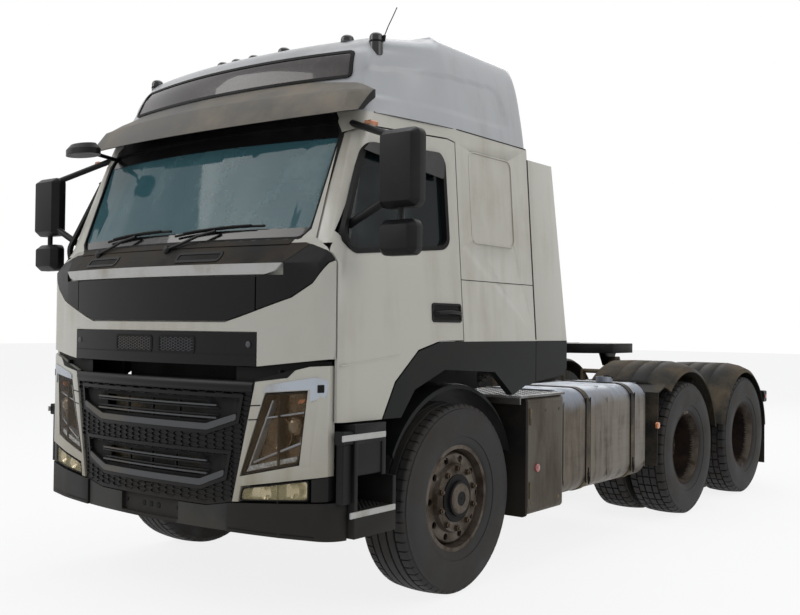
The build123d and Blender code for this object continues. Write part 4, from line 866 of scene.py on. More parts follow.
# ---------------------------------------- bumper details
FORWARD = (0, -1, 0)
with piece("bumper_lip_and_bolts", "gasket") as form:
    for sign in (1, -1):
        sheet_on(form, sign_points(oblong(0.590, 0.478, 1.150, 0.484), sign), front, -0.001, 0.01, 0.08)
    for x in (-0.21, 0.21):
        lathe(form, [(0, 0.010), (0.004, 0.010), (0.006, 0.007)], front(x, 0.536, 0.034), FORWARD, 12)
with piece("tow_step_eyes", "gasket") as form:
    for x in (-0.06, 0.0, 0.06):
        lathe(form, [(0.004, 0.004), (0.004, 0.0135), (0.000, 0.0155), (-0.004, 0.0145), (-0.004, 0.004)],
              front(x, 0.532, 0.036), FORWARD, 16)

# ---------------------------------------- headlamps and fog lamps
# outlines on the front, x and height, on the left side
HEADLAMP = [(0.655, 0.742), (0.998, 0.822), (1.040, 1.183), (0.800, 1.162)]
FOG_LAMP = [(0.652, 0.619), (1.042, 0.647), (1.042, 0.756), (0.668, 0.691)]
OUTER_PANEL = [(0.992, 0.812), (1.045, 0.822), (1.088, 1.196), (1.034, 1.192)]
CAP_STRIP = [(0.802, 1.166), (1.046, 1.187), (1.046, 1.130), (1.118, 1.152), (1.126, 1.172), (1.127, 1.232),
             (1.076, 1.246), (0.836, 1.204), (0.806, 1.190)]
CAP_BLOCK = [(1.084, 1.172), (1.112, 1.174), (1.112, 1.212), (1.084, 1.210)]
# outline of a black sheet of painted shadow at the top of the headlamp's corner
TOP_PAINTED_SHADOW = [(0.742, 1.214), (0.925, 1.239), (0.972, 1.283), (0.742, 1.2225)]
BACKING = [(0.600, 1.200), (1.120, 1.280), (1.120, 1.322), (0.780, 1.322), (0.740, 1.284), (0.600, 1.284)]
# x at both ends, height at the inner end
CORNER_GAPS = [(0.712, 0.776, 1.092), (0.706, 0.766, 1.022)]
# shares of the lamp's width and height
TRIM_LINES = [((0.10, 0.10), (0.20, 0.90), 0.008), ((0.14, 0.69), (0.95, 0.71), 0.007),
              ((0.16, 0.15), (0.93, 0.30), 0.009), ((0.93, 0.30), (0.95, 0.56), 0.007)]
INDICATOR = [(0.74, 0.83), (0.87, 0.84), (0.87, 0.89), (0.74, 0.88)]
LOWER_STRIP = [(0.07, 0.045), (0.90, 0.06), (0.90, 0.13), (0.10, 0.11)]
MAIN_REFLECTOR = [(0.000, 0.070), (0.020, 0.084), (0.022, 0.080), (0.004, 0.050), (0.003, 0.010)]
PROJECTOR_RING = [(0.000, 0.052), (0.022, 0.050), (0.030, 0.044), (0.032, 0.038)]
PROJECTOR_LENS = [(0.026, 0.038), (0.036, 0.034), (0.042, 0.024), (0.045, 0.012), (0.046, 0.003)]
FOG_REFLECTOR = [(0.000, 0.034), (0.026, 0.038), (0.028, 0.034), (0.010, 0.014), (0.010, 0.004)]


def between(outline, across_share, up_share):
    """Place in a four-cornered outline by shares of its width and height."""
    low = Vector(outline[0]).lerp(Vector(outline[1]), across_share)
    high = Vector(outline[3]).lerp(Vector(outline[2]), across_share)
    return low.lerp(high, up_share)


def headlamp(side, sign):
    lamp = sign_points(HEADLAMP, sign)
    outer = rounded_outline(shrunk(lamp, 0.003), 0.022)
    facing(f"headlamp_bowl_{side}", outer, 0.060, 0.065, "lamp_brown")
    facing(f"headlamp_bezel_{side}", outer, 0.003, 0.062, "gasket",
           [rounded_outline(shrunk(lamp, 0.014), 0.020)], stands_for="front_lamps")
    facing(f"headlamp_cover_{side}", shrunk(outer, 0.002), 0.001, 0.004, "lens")
    facing(f"lamp_outer_panel_{side}", sign_points(OUTER_PANEL, sign), -0.0008, 0.020, "paint")
    bowl, projector = between(lamp, 0.46, 0.47), between(lamp, 0.72, 0.54)
    seat = front(projector.x, projector.y, 0.054)
    with piece(f"main_reflector_{side}", "lamp_brown", sharp=40) as form:
        lathe(form, MAIN_REFLECTOR, front(bowl.x, bowl.y, 0.058), FORWARD, 32)
    with piece(f"projector_ring_{side}", "lamp_brown") as form:
        lathe(form, PROJECTOR_RING, seat, FORWARD, 32)
    with piece(f"projector_lens_{side}", "projector", sharp=60) as form:
        lathe(form, PROJECTOR_LENS, seat, FORWARD, 32)
    with piece(f"lamp_trim_lines_{side}", "silver", sharp=40) as form:
        for start, end, width in TRIM_LINES:
            first, second = between(lamp, *start), between(lamp, *end)
            along = (second - first).normalized()
            off = Vector((-along.y, along.x)) * width / 2
            sheet_on(form, [first + off, first - off, second - off, second + off], front, 0.014, 0.055, 0.05)
    facing(f"indicator_{side}", rounded_outline([between(lamp, *p) for p in INDICATOR], 0.006),
           0.020, 0.050, "amber")
    facing(f"lamp_lower_strip_{side}", rounded_outline([between(lamp, *p) for p in LOWER_STRIP], 0.006),
           0.014, 0.050, "white_lens")


def corner(side, sign):
    """Strips, backing and a sheet of painted shadow round a headlamp."""
    facing(f"headlamp_cap_strip_{side}", rounded_outline(sign_points(CAP_STRIP, sign), 0.007), -0.005, 0.003,
           "silver")
    facing(f"cap_strip_block_{side}", rounded_outline(sign_points(CAP_BLOCK, sign), 0.005), -0.007, 0.001, "gasket")
    # painted shadow: a black sheet at the top of the lamp's corner
    facing(f"corner_top_painted_shadow_{side}", sign_points(TOP_PAINTED_SHADOW, sign), -0.0012, 0.003, "gasket")
    facing(f"corner_backing_{side}", sign_points(BACKING, sign), 0.032, 0.038, "gasket")


def corner_gaps(side, sign):
    with piece(f"corner_gaps_{side}", "gasket", sharp=40) as form:
        for x0, x1, z in CORNER_GAPS:
            gap = [(x0, z), (x1, z + 0.005), (x1, z + 0.011), (x0, z + 0.006)]
            sheet_on(form, sign_points(gap, sign), front, -0.0006, 0.004, 0.05)


def fog_lamp(side, sign):
    fog = sign_points(FOG_LAMP, sign)
    outer = rounded_outline(shrunk(fog, 0.004), 0.012)
    facing(f"fog_lamp_bezel_{side}", outer, 0.003, 0.050, "gasket", [rounded_outline(shrunk(fog, 0.010), 0.012)])
    facing(f"fog_lamp_bowl_{side}", outer, 0.048, 0.052, "reflector")
    facing(f"fog_lamp_cover_{side}", shrunk(outer, 0.003), 0.006, 0.009, "fog_lens")
    with piece(f"fog_lamp_reflectors_{side}", "reflector", sharp=40) as form:
        for share in (0.36, 0.76):
            place = between(fog, share, 0.5)
            lathe(form, FOG_REFLECTOR, front(place.x, place.y, 0.046), FORWARD, 24)
    place = between(fog, 0.56, 0.5)
    with piece(f"fog_lamp_divider_{side}", "gasket", sharp=40) as form:
        sheet_on(form, oblong(place.x - 0.006, place.y - 0.040, place.x + 0.006, place.y + 0.040), front,
                 0.014, 0.048, 0.05)


for side, sign in SIDES.items():
    headlamp(side, sign)
    corner(side, sign)
    fog_lamp(side, sign)
    corner_gaps(side, sign)

# ---------------------------------------- upper front: vents, cowl, windscreen edges and wipers
VENTS = [(-0.285, 0.020), (0.085, 0.345)]
GRIPS = [(-0.66, -0.36), (0.18, 0.48)]
SCREEN = [(0.900, 1.925), (0.948, 1.975), (0.962, 2.490), (0.925, 2.545)]
HEADER = [(0.946, 2.460), (0.960, 2.484), (0.922, 2.538)]
FOOT_BAND = [(0.888, 1.932), (0.930, 1.972), (0.932, 1.984)]
for k, (x0, x1) in enumerate(VENTS):
    opening = rounded_outline(oblong(x0, 1.352, x1, 1.430), 0.014)
    facing(f"vent_frame_{k + 1}", shrunk(opening, -0.008), -0.003, 0.004, "gasket", [shrunk(opening, 0.004)], "cab")
    with piece(f"vent_mesh_{k + 1}", "grey", "cab") as form:
        honeycomb(form, shrunk(opening, 0.001), [], 0.001, VENT_CELL, 0.0035, 0.0035)
facing("vent_panel_seam", oblong(-0.745, 1.344, 0.745, 1.348), -0.0012, 0.003, "gasket", (), "cab", 0.06)
with piece("vent_panel_caps", "grey", "cab") as form:
    for x in (-0.70, 0.70):
        lathe(form, [(0, 0.016), (0.004, 0.016), (0.006, 0.012), (0.006, 0.004)], front(x, 1.398), FORWARD, 20)
for k, (x0, x1) in enumerate(GRIPS):
    grip = rounded_outline(oblong(x0, 1.826, x1, 1.862), 0.014)
    facing(f"cowl_grip_{k + 1}", shrunk(grip, -0.010), -0.006, 0.004, "black", [shrunk(grip, 0.003)], "cab")
    facing(f"cowl_grip_floor_{k + 1}", grip, -0.0015, 0.003, "gasket", (), "cab")

screen = rounded_outline(both(SCREEN), 0.035)
facing("windscreen_gasket", shrunk(screen, -0.016), 0.002, 0.019, "gasket", [shrunk(screen, 0.012)], "cab", 0.07)
facing("windscreen_header", rounded_outline(both(HEADER), 0.01), 0.012, 0.0155, "gloss", (), "cab", 0.07)
# painted shadow: a black sheet on the paint between the windscreen's top and the visor, standing for the visor's
# shadow
facing("visor_painted_shadow_band", both([(0.925, 2.541), (0.915, 2.640)]), -0.0015, 0.004, "gloss", (), "cab", 0.07)
facing("cowl_top_lip", both([(0.860, 1.898), (0.870, 1.924)]), -0.006, 0.004, "cowl", (), "cab", 0.07)
facing("windscreen_foot_band", rounded_outline(both(FOOT_BAND), 0.01), 0.012, 0.0155, "gloss", (), "cab", 0.07)

# x of the pivot, x of the blade's middle, half the blade's length
WIPERS = [(-0.62, -0.30, 0.30), (0.05, 0.36, 0.31)]
BLADE_Z, BLADE_SLOPE = 1.985, 0.05
for k, (pivot_x, middle_x, half) in enumerate(WIPERS):
    pivot = front(pivot_x, 1.893, -0.004)
    elbow = front(pivot_x + 0.10, 1.925, -0.024)
    clip = front(middle_x, BLADE_Z, -0.014)
    with piece(f"wiper_arm_{k + 1}", "black", "cab", 40) as form:
        lathe(form, [(0, 0.024), (0.014, 0.024), (0.020, 0.018), (0.022, 0.008)], pivot, (0, -1, 0.2), 20)
        tube(form, [pivot + Vector((0, -0.012, 0.002)), elbow, elbow.lerp(clip, 0.5) + Vector((0, -0.006, 0.006)),
                    clip], 0.0085, 8)
    with piece(f"wiper_blade_{k + 1}", "gasket", "cab", 40) as form:
        points = [front(middle_x + t * half, BLADE_Z + BLADE_SLOPE * t * half + 0.010 * (1 - t * t), -0.004)
                  for t in (j / 4 - 1 for j in range(9))]
        tube(form, points, 0.007, 6)
        tube(form, [p + Vector((0, -0.012, 0.004)) for p in points[1:-1]], 0.006, 6)

# ---------------------------------------- high roof
ROOF_PANEL = rounded_outline([(-0.700, 2.690), (0.520, 2.700), (0.430, 2.935), (-0.690, 2.860)], 0.06, 6)
PANEL_DEPTH, PANEL_EDGE = 0.007, 0.014
ROOF_BOTTOM, ROOF_TOP, ROOF_ROWS = 2.600, 3.145, 46
SIDE_STEPS = 48


def smooth_row(z):
    """Section sizes at a height, on a curve through the table's rows that doesn't overshoot them."""
    z *= 1000
    rows = CAB_SECTIONS
    k = max(i for i in range(len(rows) - 1) if rows[i][0] <= z or i == 0)
    low, high = rows[k], rows[k + 1]
    span = high[0] - low[0]
    t = (z - low[0]) / span
    made = []
    for i in range(1, 11):
        slope = (high[i] - low[i]) / span
        before = (low[i] - rows[k - 1][i]) / (low[0] - rows[k - 1][0]) if k else slope
        after = (rows[k + 2][i] - high[i]) / (rows[k + 2][0] - high[0]) if k + 2 < len(rows) else slope
        start, end = (max(-abs(slope) * 3, min(abs(slope) * 3, (other + slope) / 2)) if other * slope > 0 else 0.0
                      for other in (before, after))
        t2, t3 = t * t, t * t * t
        made.append((low[i] * (2 * t3 - 3 * t2 + 1) + high[i] * (3 * t2 - 2 * t3)
                     + (start * (t3 - 2 * t2 + t) + end * (t3 - t2)) * span) / 1000)
    return made


def half_plan(z):
    """Half outline of the roof at a height, from the middle of the front to the middle of the rear."""
    middle, x1, y1, x2, y2, x3, y3, x4, y4, half = smooth_row(z)
    points = [(x, bowed(middle, x1, y1, x)) for x in (x1 * k / 14 for k in range(15))]
    points += [(x1 + (x2 - x1) * k / 3, y1 + (y2 - y1) * k / 3) for k in (1, 2)]
    start, knee, end = Vector((x2, y2)), Vector((x3, y3)), Vector((x4, y4))
    control = knee * 2 - (start + end) / 2
    for s in (k / 8 for k in range(9)):
        place = (1 - s) ** 2 * start + 2 * s * (1 - s) * control + s * s * end
        points.append((place.x, place.y))
    for k in range(1, SIDE_STEPS + 1):
        y = y4 + (CAB_REAR - 0.03 - y4) * k / SIDE_STEPS
        s = min(1.0, (y - y4) / (SIDE_KNEE - y4))
        points.append((x4 + (half - x4) * (1 - (1 - s) ** 1.6), y))
    points += [(half - 0.010, CAB_REAR - 0.012), (half - 0.030, CAB_REAR)]
    return points + [((half - 0.030) * (1 - k / 6), CAB_REAR) for k in range(1, 7)]


def pressed(x, y, z):
    """X of the roof's side, with its pressed panel."""
    if y > -0.75 and x > 0.85 and inside((y, z), ROOF_PANEL):
        near = min((Vector((y, z)) - p).length for p in ROOF_PANEL)
        return x - PANEL_DEPTH * min(1.0, near / PANEL_EDGE)
    return x


with piece("high_roof", "roof_paint", "cab", 50, "roof_cap") as form:
    rings = []
    for k in range(ROOF_ROWS + 1):
        z = min(ROOF_BOTTOM + (ROOF_TOP - ROOF_BOTTOM) * (1 - (1 - k / ROOF_ROWS) ** 1.5), ROOF_TOP)
        half = [(pressed(x, y, z), y) for x, y in half_plan(z)]
        rings.append(ring(form, [at(x, y, z) for x, y in half + [(-x, y) for x, y in reversed(half[1:-1])]]))
    for a, b in zip(rings, rings[1:]):
        bridge(form, a, b)
    form.faces.new(list(reversed(rings[0])))
    crown = form.verts.new(at(0, 0.25, 3.1449))
    for a, b in zip(rings[-1], rings[-1][1:] + rings[-1][:1]):
        form.faces.new((a, b, crown))
for side, sign in SIDES.items():
    siding(f"roof_seam_{side}", oblong(-0.68, 2.598, 0.69, 2.604), sign, -0.002, 0.004, "gasket", "cab", pitch=0.08)

# ---------------------------------------- sign edge, roof lamps, aerial
UPWARD = (0, 0, 1)
LAMP_Y = -0.504
OUTER_LAMPS = {"left": (0.934, 3.078), "right": (-0.904, 3.085)}
ROOF_LAMPS = [(-0.275, 3.105), (-0.151, 3.105), (-0.004, 3.105), (0.245, 3.110), (0.729, 3.100)]
for side, (x, top) in OUTER_LAMPS.items():
    with piece(f"outer_lamp_band_{side}", "gasket", "cab") as form:
        lathe(form, [(-0.055, 0.0388), (-0.050, 0.0396), (-0.044, 0.0388)], at(x, LAMP_Y, top), UPWARD, 24)
with piece("roof_lamp_bands", "grey", "cab") as form:
    for x, top in ROOF_LAMPS:
        lathe(form, [(-0.046, 0.0388), (-0.042, 0.0396), (-0.036, 0.0388)], at(x, LAMP_Y, top), UPWARD, 24)
with piece("whip_aerial", "gasket", "cab", 40) as form:
    tube(form, [at(0.972, -0.487, 3.030), at(0.974, -0.484, 3.062)], 0.009, 10)
    tube(form, [at(0.974, -0.484, 3.060), at(0.977, -0.455, 3.120), at(0.980, -0.420, 3.180),
                at(0.980, -0.385, 3.238)], 0.0028, 8)


def roof_front(x, z, depth=0.0):
    """Point of the smooth roof's front."""
    middle, x1, y1, x2, y2 = smooth_row(z)[:5]
    y = bowed(middle, x1, y1, min(abs(x), x1))
    if abs(x) > x1:
        y += (y2 - y1) * (abs(x) - x1) / (x2 - x1)
    return at(x, y + depth, z)


sign_edge = rounded_outline(both([(0.905, 2.806), (0.866, 2.980)]), 0.04, 6)
with piece("sign_face", "sign", "cab", 60, "sign_panel") as form:
    sheet_on(form, shrunk(sign_edge, 0.010), roof_front, -0.005, 0.012, 0.045)
with piece("sign_frame", "gasket", "cab") as form:
    sheet_on(form, shrunk(sign_edge, 0.001), roof_front, -0.009, 0.008, 0.045, [shrunk(sign_edge, 0.018)])

# ---------------------------------------- doors: seals, guards, handles, mirrors
# outlines on the cab's side, distance behind the front axle and height
DOOR_WINDOW = [(-0.965, 1.885), (-0.925, 1.862), (-0.230, 1.925), (-0.190, 1.960), (-0.190, 2.400), (-0.230, 2.436),
               (-0.740, 2.424), (-0.785, 2.390), (-0.985, 1.960)]
RAIN_GUARD = [(-0.800, 2.386), (-0.215, 2.300), (-0.200, 2.404), (-0.232, 2.446), (-0.742, 2.434), (-0.792, 2.396)]
DOOR_CREASE = [(-1.034, 1.300), (-0.620, 1.345), (-0.620, 1.351), (-1.034, 1.306)]
# distance behind the front axle, height and depth of the points along a door's grip
HANDLE_GRIP = [(-0.335, 1.566, 0.004), (-0.325, 1.570, -0.020), (-0.23, 1.576, -0.026), (-0.14, 1.570, -0.020),
               (-0.128, 1.566, 0.004)]
# x of the two edges, height of the two edges
MIRROR_HEADS = [(1.322, 1.560, 2.055, 2.430), (1.326, 1.545, 1.830, 2.000)]
MIRROR_FACE, MIRROR_MARGIN = -0.8955, 0.012


def door_details(side, sign, body):
    opening = rounded_outline(DOOR_WINDOW, 0.03)
    siding(f"window_seal_{side}", shrunk(opening, -0.012), sign, -0.004, 0.026, "gasket", body,
           [shrunk(opening, 0.012)])
    siding(f"rain_guard_{side}", rounded_outline(RAIN_GUARD, 0.02), sign, -0.018, -0.014, "gloss", body)
    recess = rounded_outline(oblong(-0.351, 1.526, -0.113, 1.617), 0.014)
    siding(f"handle_recess_{side}", recess, sign, -0.001, 0.004, "gasket", body)
    siding(f"handle_frame_{side}", shrunk(recess, -0.006), sign, -0.006, 0.004, "black", body,
           [shrunk(recess, 0.006)])
    with piece(f"handle_grip_{side}", "black", body, 40) as form:
        tube(form, [flank(sign)(*point) for point in HANDLE_GRIP], 0.011, 10)
    siding(f"door_crease_{side}", DOOR_CREASE, sign, -0.0025, 0.004, "paint", body)
    with piece(f"mirror_glass_{side}", "mirror", body) as form:
        for x0, x1, low, high in MIRROR_HEADS:
            face = oblong(x0 + MIRROR_MARGIN, low + MIRROR_MARGIN, x1 - MIRROR_MARGIN, high - MIRROR_MARGIN)
            plate(form, rounded_outline(sign_points(face, sign), 0.032, 5), MIRROR_FACE, 0.004)
    with piece(f"side_marker_{side}", "amber", body) as form:
        set_block(form, (1.10, -0.80, 2.508), (1.15, -0.745, 2.532), 0.006, sign)


def side_details(side, sign):
    """Seams and the raised bead on the cab's side behind a door."""
    siding(f"side_seam_{side}", oblong(-0.088, 1.755, 0.694, 1.759), sign, -0.001, 0.003, "gasket", "cab")
    siding(f"extension_seam_{side}", oblong(0.694, 1.424, 0.707, 2.536), sign, -0.0012, 0.003, "gasket", "cab")
    panel = rounded_outline(oblong(0.040, 1.975, 0.500, 2.495), 0.055, 5)
    siding(f"sleeper_panel_bead_{side}", shrunk(panel, -0.004), sign, -0.0015, 0.004, "paint", "cab",
           [shrunk(panel, 0.003)])


for side, sign in SIDES.items():
    door_details(side, sign, f"door_{side}")
    side_details(side, sign)

# ---------------------------------------- inside the cab: seats, bunk, wheel, dash
PAD_SQUARENESS = 5.0
CHANNEL_WIDTH = 0.06


def cushion(name, low, high, finish="cloth", channels=(), lean=0.0, cuts=10):
    """Stuffed pad: crowned faces, sides pulled in between the corners, a piped edge and sewn channels.

    channels: across which of the pad's two long directions each is sewn, and where from -1 to 1."""
    form = bmesh.new()
    size = [b - a for a, b in zip(low, high)]
    bmesh.ops.create_cube(form, size=2.0)
    bmesh.ops.subdivide_edges(form, edges=form.edges[:], cuts=cuts, use_grid_fill=True)
    thin = size.index(min(size))
    wide = [k for k in range(3) if k != thin]
    for vert in form.verts:
        u, v, w = vert.co[wide[0]], vert.co[wide[1]], vert.co[thin]
        length = (abs(u) ** PAD_SQUARENESS + abs(v) ** PAD_SQUARENESS) ** (1 / PAD_SQUARENESS)
        edge = max(abs(u), abs(v))
        if length > 1e-6:
            u, v = u / length * edge, v / length * edge
        crown = (1 - u * u) * (1 - v * v)
        bulge = w * (0.80 + 0.20 * math.sqrt(max(crown, 0.0)))
        waist = 1 - 0.05 * (1 - w * w) * (1 - min(abs(u * v) * 1.4, 1)) - 0.10 * w * w * edge ** 8
        for axis, sewn in channels:
            bulge *= 1 - 0.10 * math.exp(-(((v if axis else u) - sewn) / CHANNEL_WIDTH) ** 2)
        point = [0.0, 0.0, 0.0]
        point[wide[0]], point[wide[1]], point[thin] = u * waist, v * waist, bulge
        for k in range(3):
            vert.co[k] = (low[k] + high[k]) / 2 + point[k] * size[k] / 2
        vert.co.y += lean * (vert.co.z - low[2])
    made = show(name, form, finish, "cab", 80)
    smooth = made.modifiers.new("smooth", "SUBSURF")
    smooth.levels = smooth.render_levels = 1
    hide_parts("seats_and_bunk")


SEAT_MIDDLE = 0.55
for side, sign in SIDES.items():
    middle = SEAT_MIDDLE * sign
    cushion(f"seat_base_{side}", at(middle - 0.255, -0.285, 1.745), at(middle + 0.255, 0.165, 1.905),
            channels=((0, -0.55), (0, 0.55)))
    cushion(f"seat_back_{side}", at(middle - 0.250, 0.060, 1.860), at(middle + 0.250, 0.175, 2.300),
            channels=((0, -0.5), (0, 0.5), (1, 0.1)), lean=0.10)
    cushion(f"head_rest_{side}", at(middle - 0.150, 0.125, 2.310), at(middle + 0.150, 0.225, 2.450))
    with piece(f"seat_frame_{side}", "dash", "cab", 40) as form:
        prism(form, [at(middle - 0.17, -0.16, 1.478), at(middle - 0.17, 0.12, 1.478),
                     at(middle - 0.15, 0.10, 1.745), at(middle - 0.15, -0.15, 1.745)], (0.32, 0, 0))
        for x in (middle - 0.10, middle + 0.10):
            tube(form, [at(x, 0.130, 2.25), at(x, 0.165, 2.34)], 0.008, 8)
        arm_rest = middle + sign * 0.27
        tube(form, [at(arm_rest, 0.13, 1.95), at(arm_rest, 0.02, 2.03), at(arm_rest, -0.12, 2.035)], 0.024, 10)
cushion("bunk_mattress", at(-1.06, 0.29, 1.800), at(1.06, 0.625, 1.905), "bedding",
        channels=((0, -0.5), (0, 0.0), (0, 0.5)), cuts=16)
cushion("bunk_pillow", at(0.62, 0.30, 1.895), at(1.03, 0.60, 1.99), "bedding")
with piece("bunk_base", "lining", "cab") as form:
    set_block(form, (-1.07, 0.28, 1.478), (1.07, 0.63, 1.795), 0.012)

WHEEL_TILT = math.radians(27)
WHEEL_CENTRE, WHEEL_RADIUS, GRIP_RADIUS = at(0.55, -0.52, 2.05), 0.210, 0.0145
SPOKES = (0.25, math.pi - 0.25, 4.1, 5.3)                # their angles round the wheel
BOSS = [(-0.045, 0.045), (-0.035, 0.075), (0.000, 0.085), (0.012, 0.070), (0.016, 0.030)]
COLUMN = [(-0.26, 0.028), (-0.03, 0.034), (-0.028, 0.028)]
wheel_axis = Vector((0, math.sin(WHEEL_TILT), math.cos(WHEEL_TILT)))


def round_the_wheel(angle):
    """Unit vector from the steering wheel's centre."""
    return math.cos(angle) * Vector((1, 0, 0)) + math.sin(angle) * wheel_axis.cross(Vector((1, 0, 0)))


with piece("steering_wheel_form", "dash", "steering_wheel", 40, "steering_wheel") as form:
    rings = []
    for out in (round_the_wheel(2 * math.pi * k / 40) for k in range(40)):
        rings.append(ring(form, [WHEEL_CENTRE + WHEEL_RADIUS * out
                                 + GRIP_RADIUS * (math.cos(a) * out + math.sin(a) * wheel_axis)
                                 for a in (2 * math.pi * j / 10 for j in range(10))]))
    for first, second in zip(rings, rings[1:] + rings[:1]):
        bridge(form, first, second)
    for out in map(round_the_wheel, SPOKES):
        tube(form, [WHEEL_CENTRE + 0.05 * out - wheel_axis * 0.02, WHEEL_CENTRE + 0.205 * out], 0.012, 8)
    lathe(form, BOSS, WHEEL_CENTRE, wheel_axis, 28)
    lathe(form, COLUMN, WHEEL_CENTRE, wheel_axis, 16)
with piece("dash_binnacle_and_vents", "dash", "cab") as form:
    set_block(form, (0.36, -0.86, 1.864), (0.76, -0.735, 1.925), 0.02)
    for x in (-0.30, -0.17, -0.04, 0.09):
        set_block(form, (x, -0.735, 1.70), (x + 0.10, -0.695, 1.78), 0.008)

# ---------------------------------------- rear wall of the cab
RIB_MIDDLE = 2.03
with piece("rear_wall_ribs", "paint", "cab") as form:
    for x in (-0.92, -0.46, 0.0, 0.46, 0.92):
        face = rounded_outline(oblong(x - 0.035, 1.56, x + 0.035, 2.50), 0.03, 4)
        low = ring(form, [at(p.x, CAB_REAR, p.y) for p in face])
        high = ring(form, [at(x + (p.x - x) * 0.72, CAB_REAR + 0.009, RIB_MIDDLE + (p.y - RIB_MIDDLE) * 0.985)
                           for p in face])
        bridge(form, low, high)
        form.faces.new(high)
        form.faces.new(list(reversed(low)))
with piece("rear_wall_seams", "gasket", "cab") as form:
    for half, low, high in ((1.16, 2.594, 2.602), (1.22, 1.500, 1.507)):
        set_block(form, (-half, CAB_REAR - 0.001, low), (half, CAB_REAR + 0.002, high))

# ---------------------------------------- dark linings behind the panels
STEP_LINER = [(-1.150, 0.50), (-0.640, 0.50), (-0.640, 1.05), (-0.745, 1.05), (-0.745, 1.275), (-1.150, 1.275)]
ARCH_RADIUS, ARCH_START, ARCH_END = 0.642, 20, 152       # degrees up from straight behind the front axle
# x and drop below the arch, round the liner's section
ARCH_SECTION = [(0.640, 0.040), (0.660, 0.008), (0.700, 0.0), (1.100, 0.0), (1.125, 0.006), (1.130, 0.030),
                (1.122, 0.030), (1.098, 0.010), (0.704, 0.008), (0.648, 0.044)]
# corners and chamfer of plates in front of and behind the engine, the second list on both sides
MIDDLE_PLATES = [((-0.462, -1.010, 0.60), (0.462, -0.996, 1.340), 0.004),
                 ((-0.44, -0.585, 1.258), (0.44, -0.577, 1.38), 0.0)]
SIDE_PLATES = [((0.536, -1.010, 0.60), (0.735, -0.996, 1.340), 0.004),
               ((0.44, -0.585, 1.00), (0.56, -0.577, 1.38), 0.0),
               ((0.56, -0.585, 1.15), (1.02, -0.577, 1.36), 0.0),
               ((0.73, -1.012, 1.20), (1.12, -1.000, 1.36), 0.0),
               ((0.78, -0.500, 1.10), (0.786, 0.750, 1.300), 0.0)]
for side, sign in SIDES.items():
    with piece(f"step_liner_{side}", "gasket") as form:
        prism(form, [at(0.868 * sign, y, z) for y, z in STEP_LINER], (0.012 * sign, 0, 0))
    with piece(f"wheel_arch_liner_{side}", "skirt", sharp=40) as form:
        angles = [math.radians(ARCH_START + (ARCH_END - ARCH_START) * k / 28) for k in range(29)]
        arch = [(ARCH_RADIUS * math.cos(a), AXLE_Z + ARCH_RADIUS * math.sin(a)) for a in angles]
        loops = [ring(form, [at(sign * x, y, z - drop) for y, z in arch]) for x, drop in ARCH_SECTION]
        for a, b in zip(loops, loops[1:] + loops[:1]):
            bridge(form, a, b, closed=False)
        form.faces.new([loop[0] for loop in loops])
        form.faces.new([loop[-1] for loop in reversed(loops)])
with piece("radiator_screen", "gasket") as form:
    for low, high, chamfer in MIDDLE_PLATES:
        set_block(form, low, high, chamfer)
    for sign in SIDES.values():
        for low, high, chamfer in SIDE_PLATES:
            set_block(form, low, high, chamfer, sign)
    for k in range(26):
        z = 0.66 + 0.022 * k
        set_block(form, (-0.430, -1.020, z), (0.430, -1.010, z + 0.006))

# ---------------------------------------- steps and lower side
STUD = [(-0.002, 0.008), (0.004, 0.0065), (0.005, 0.003)]
STUD_PITCH, STUDS_ACROSS, TREAD_INNER, TREAD_FRONT = 0.028, 9, 0.930, -0.945
STEP_LEVELS = [(0.604, 9), (0.930, 6)]                   # height of a step, its rows of studs
# height, distance behind the front axle of both ends
STEP_STRIPS = [(0.585, -1.000, -0.656), (0.958, -1.062, -0.740)]
STEP_FILLERS = [((1.150, -1.050, 0.925), (1.209, -0.960, 0.990)), ((1.150, -1.040, 0.640), (1.196, -0.965, 0.930)),
                ((1.192, -0.976, 0.770), (1.2085, -0.738, 0.944))]
for side, sign in SIDES.items():
    with piece(f"step_tread_{side}", "skirt") as form:
        for level, rows in STEP_LEVELS:
            for i in range(STUDS_ACROSS):
                for j in range(rows):
                    lathe(form, STUD, at(sign * (TREAD_INNER + (i + 0.5) * STUD_PITCH),
                                         TREAD_FRONT + (j + 0.5) * STUD_PITCH, level), UPWARD, 6)
    with piece(f"step_strip_{side}", "strip") as form:
        for z, y0, y1 in STEP_STRIPS:
            set_block(form, (1.208, y0, z - 0.014), (1.218, y1, z + 0.016), 0.003, sign)
    with piece(f"step_filler_{side}", "black", sharp=40) as form:
        for low, high in STEP_FILLERS:
            set_block(form, low, high, 0.005, sign)

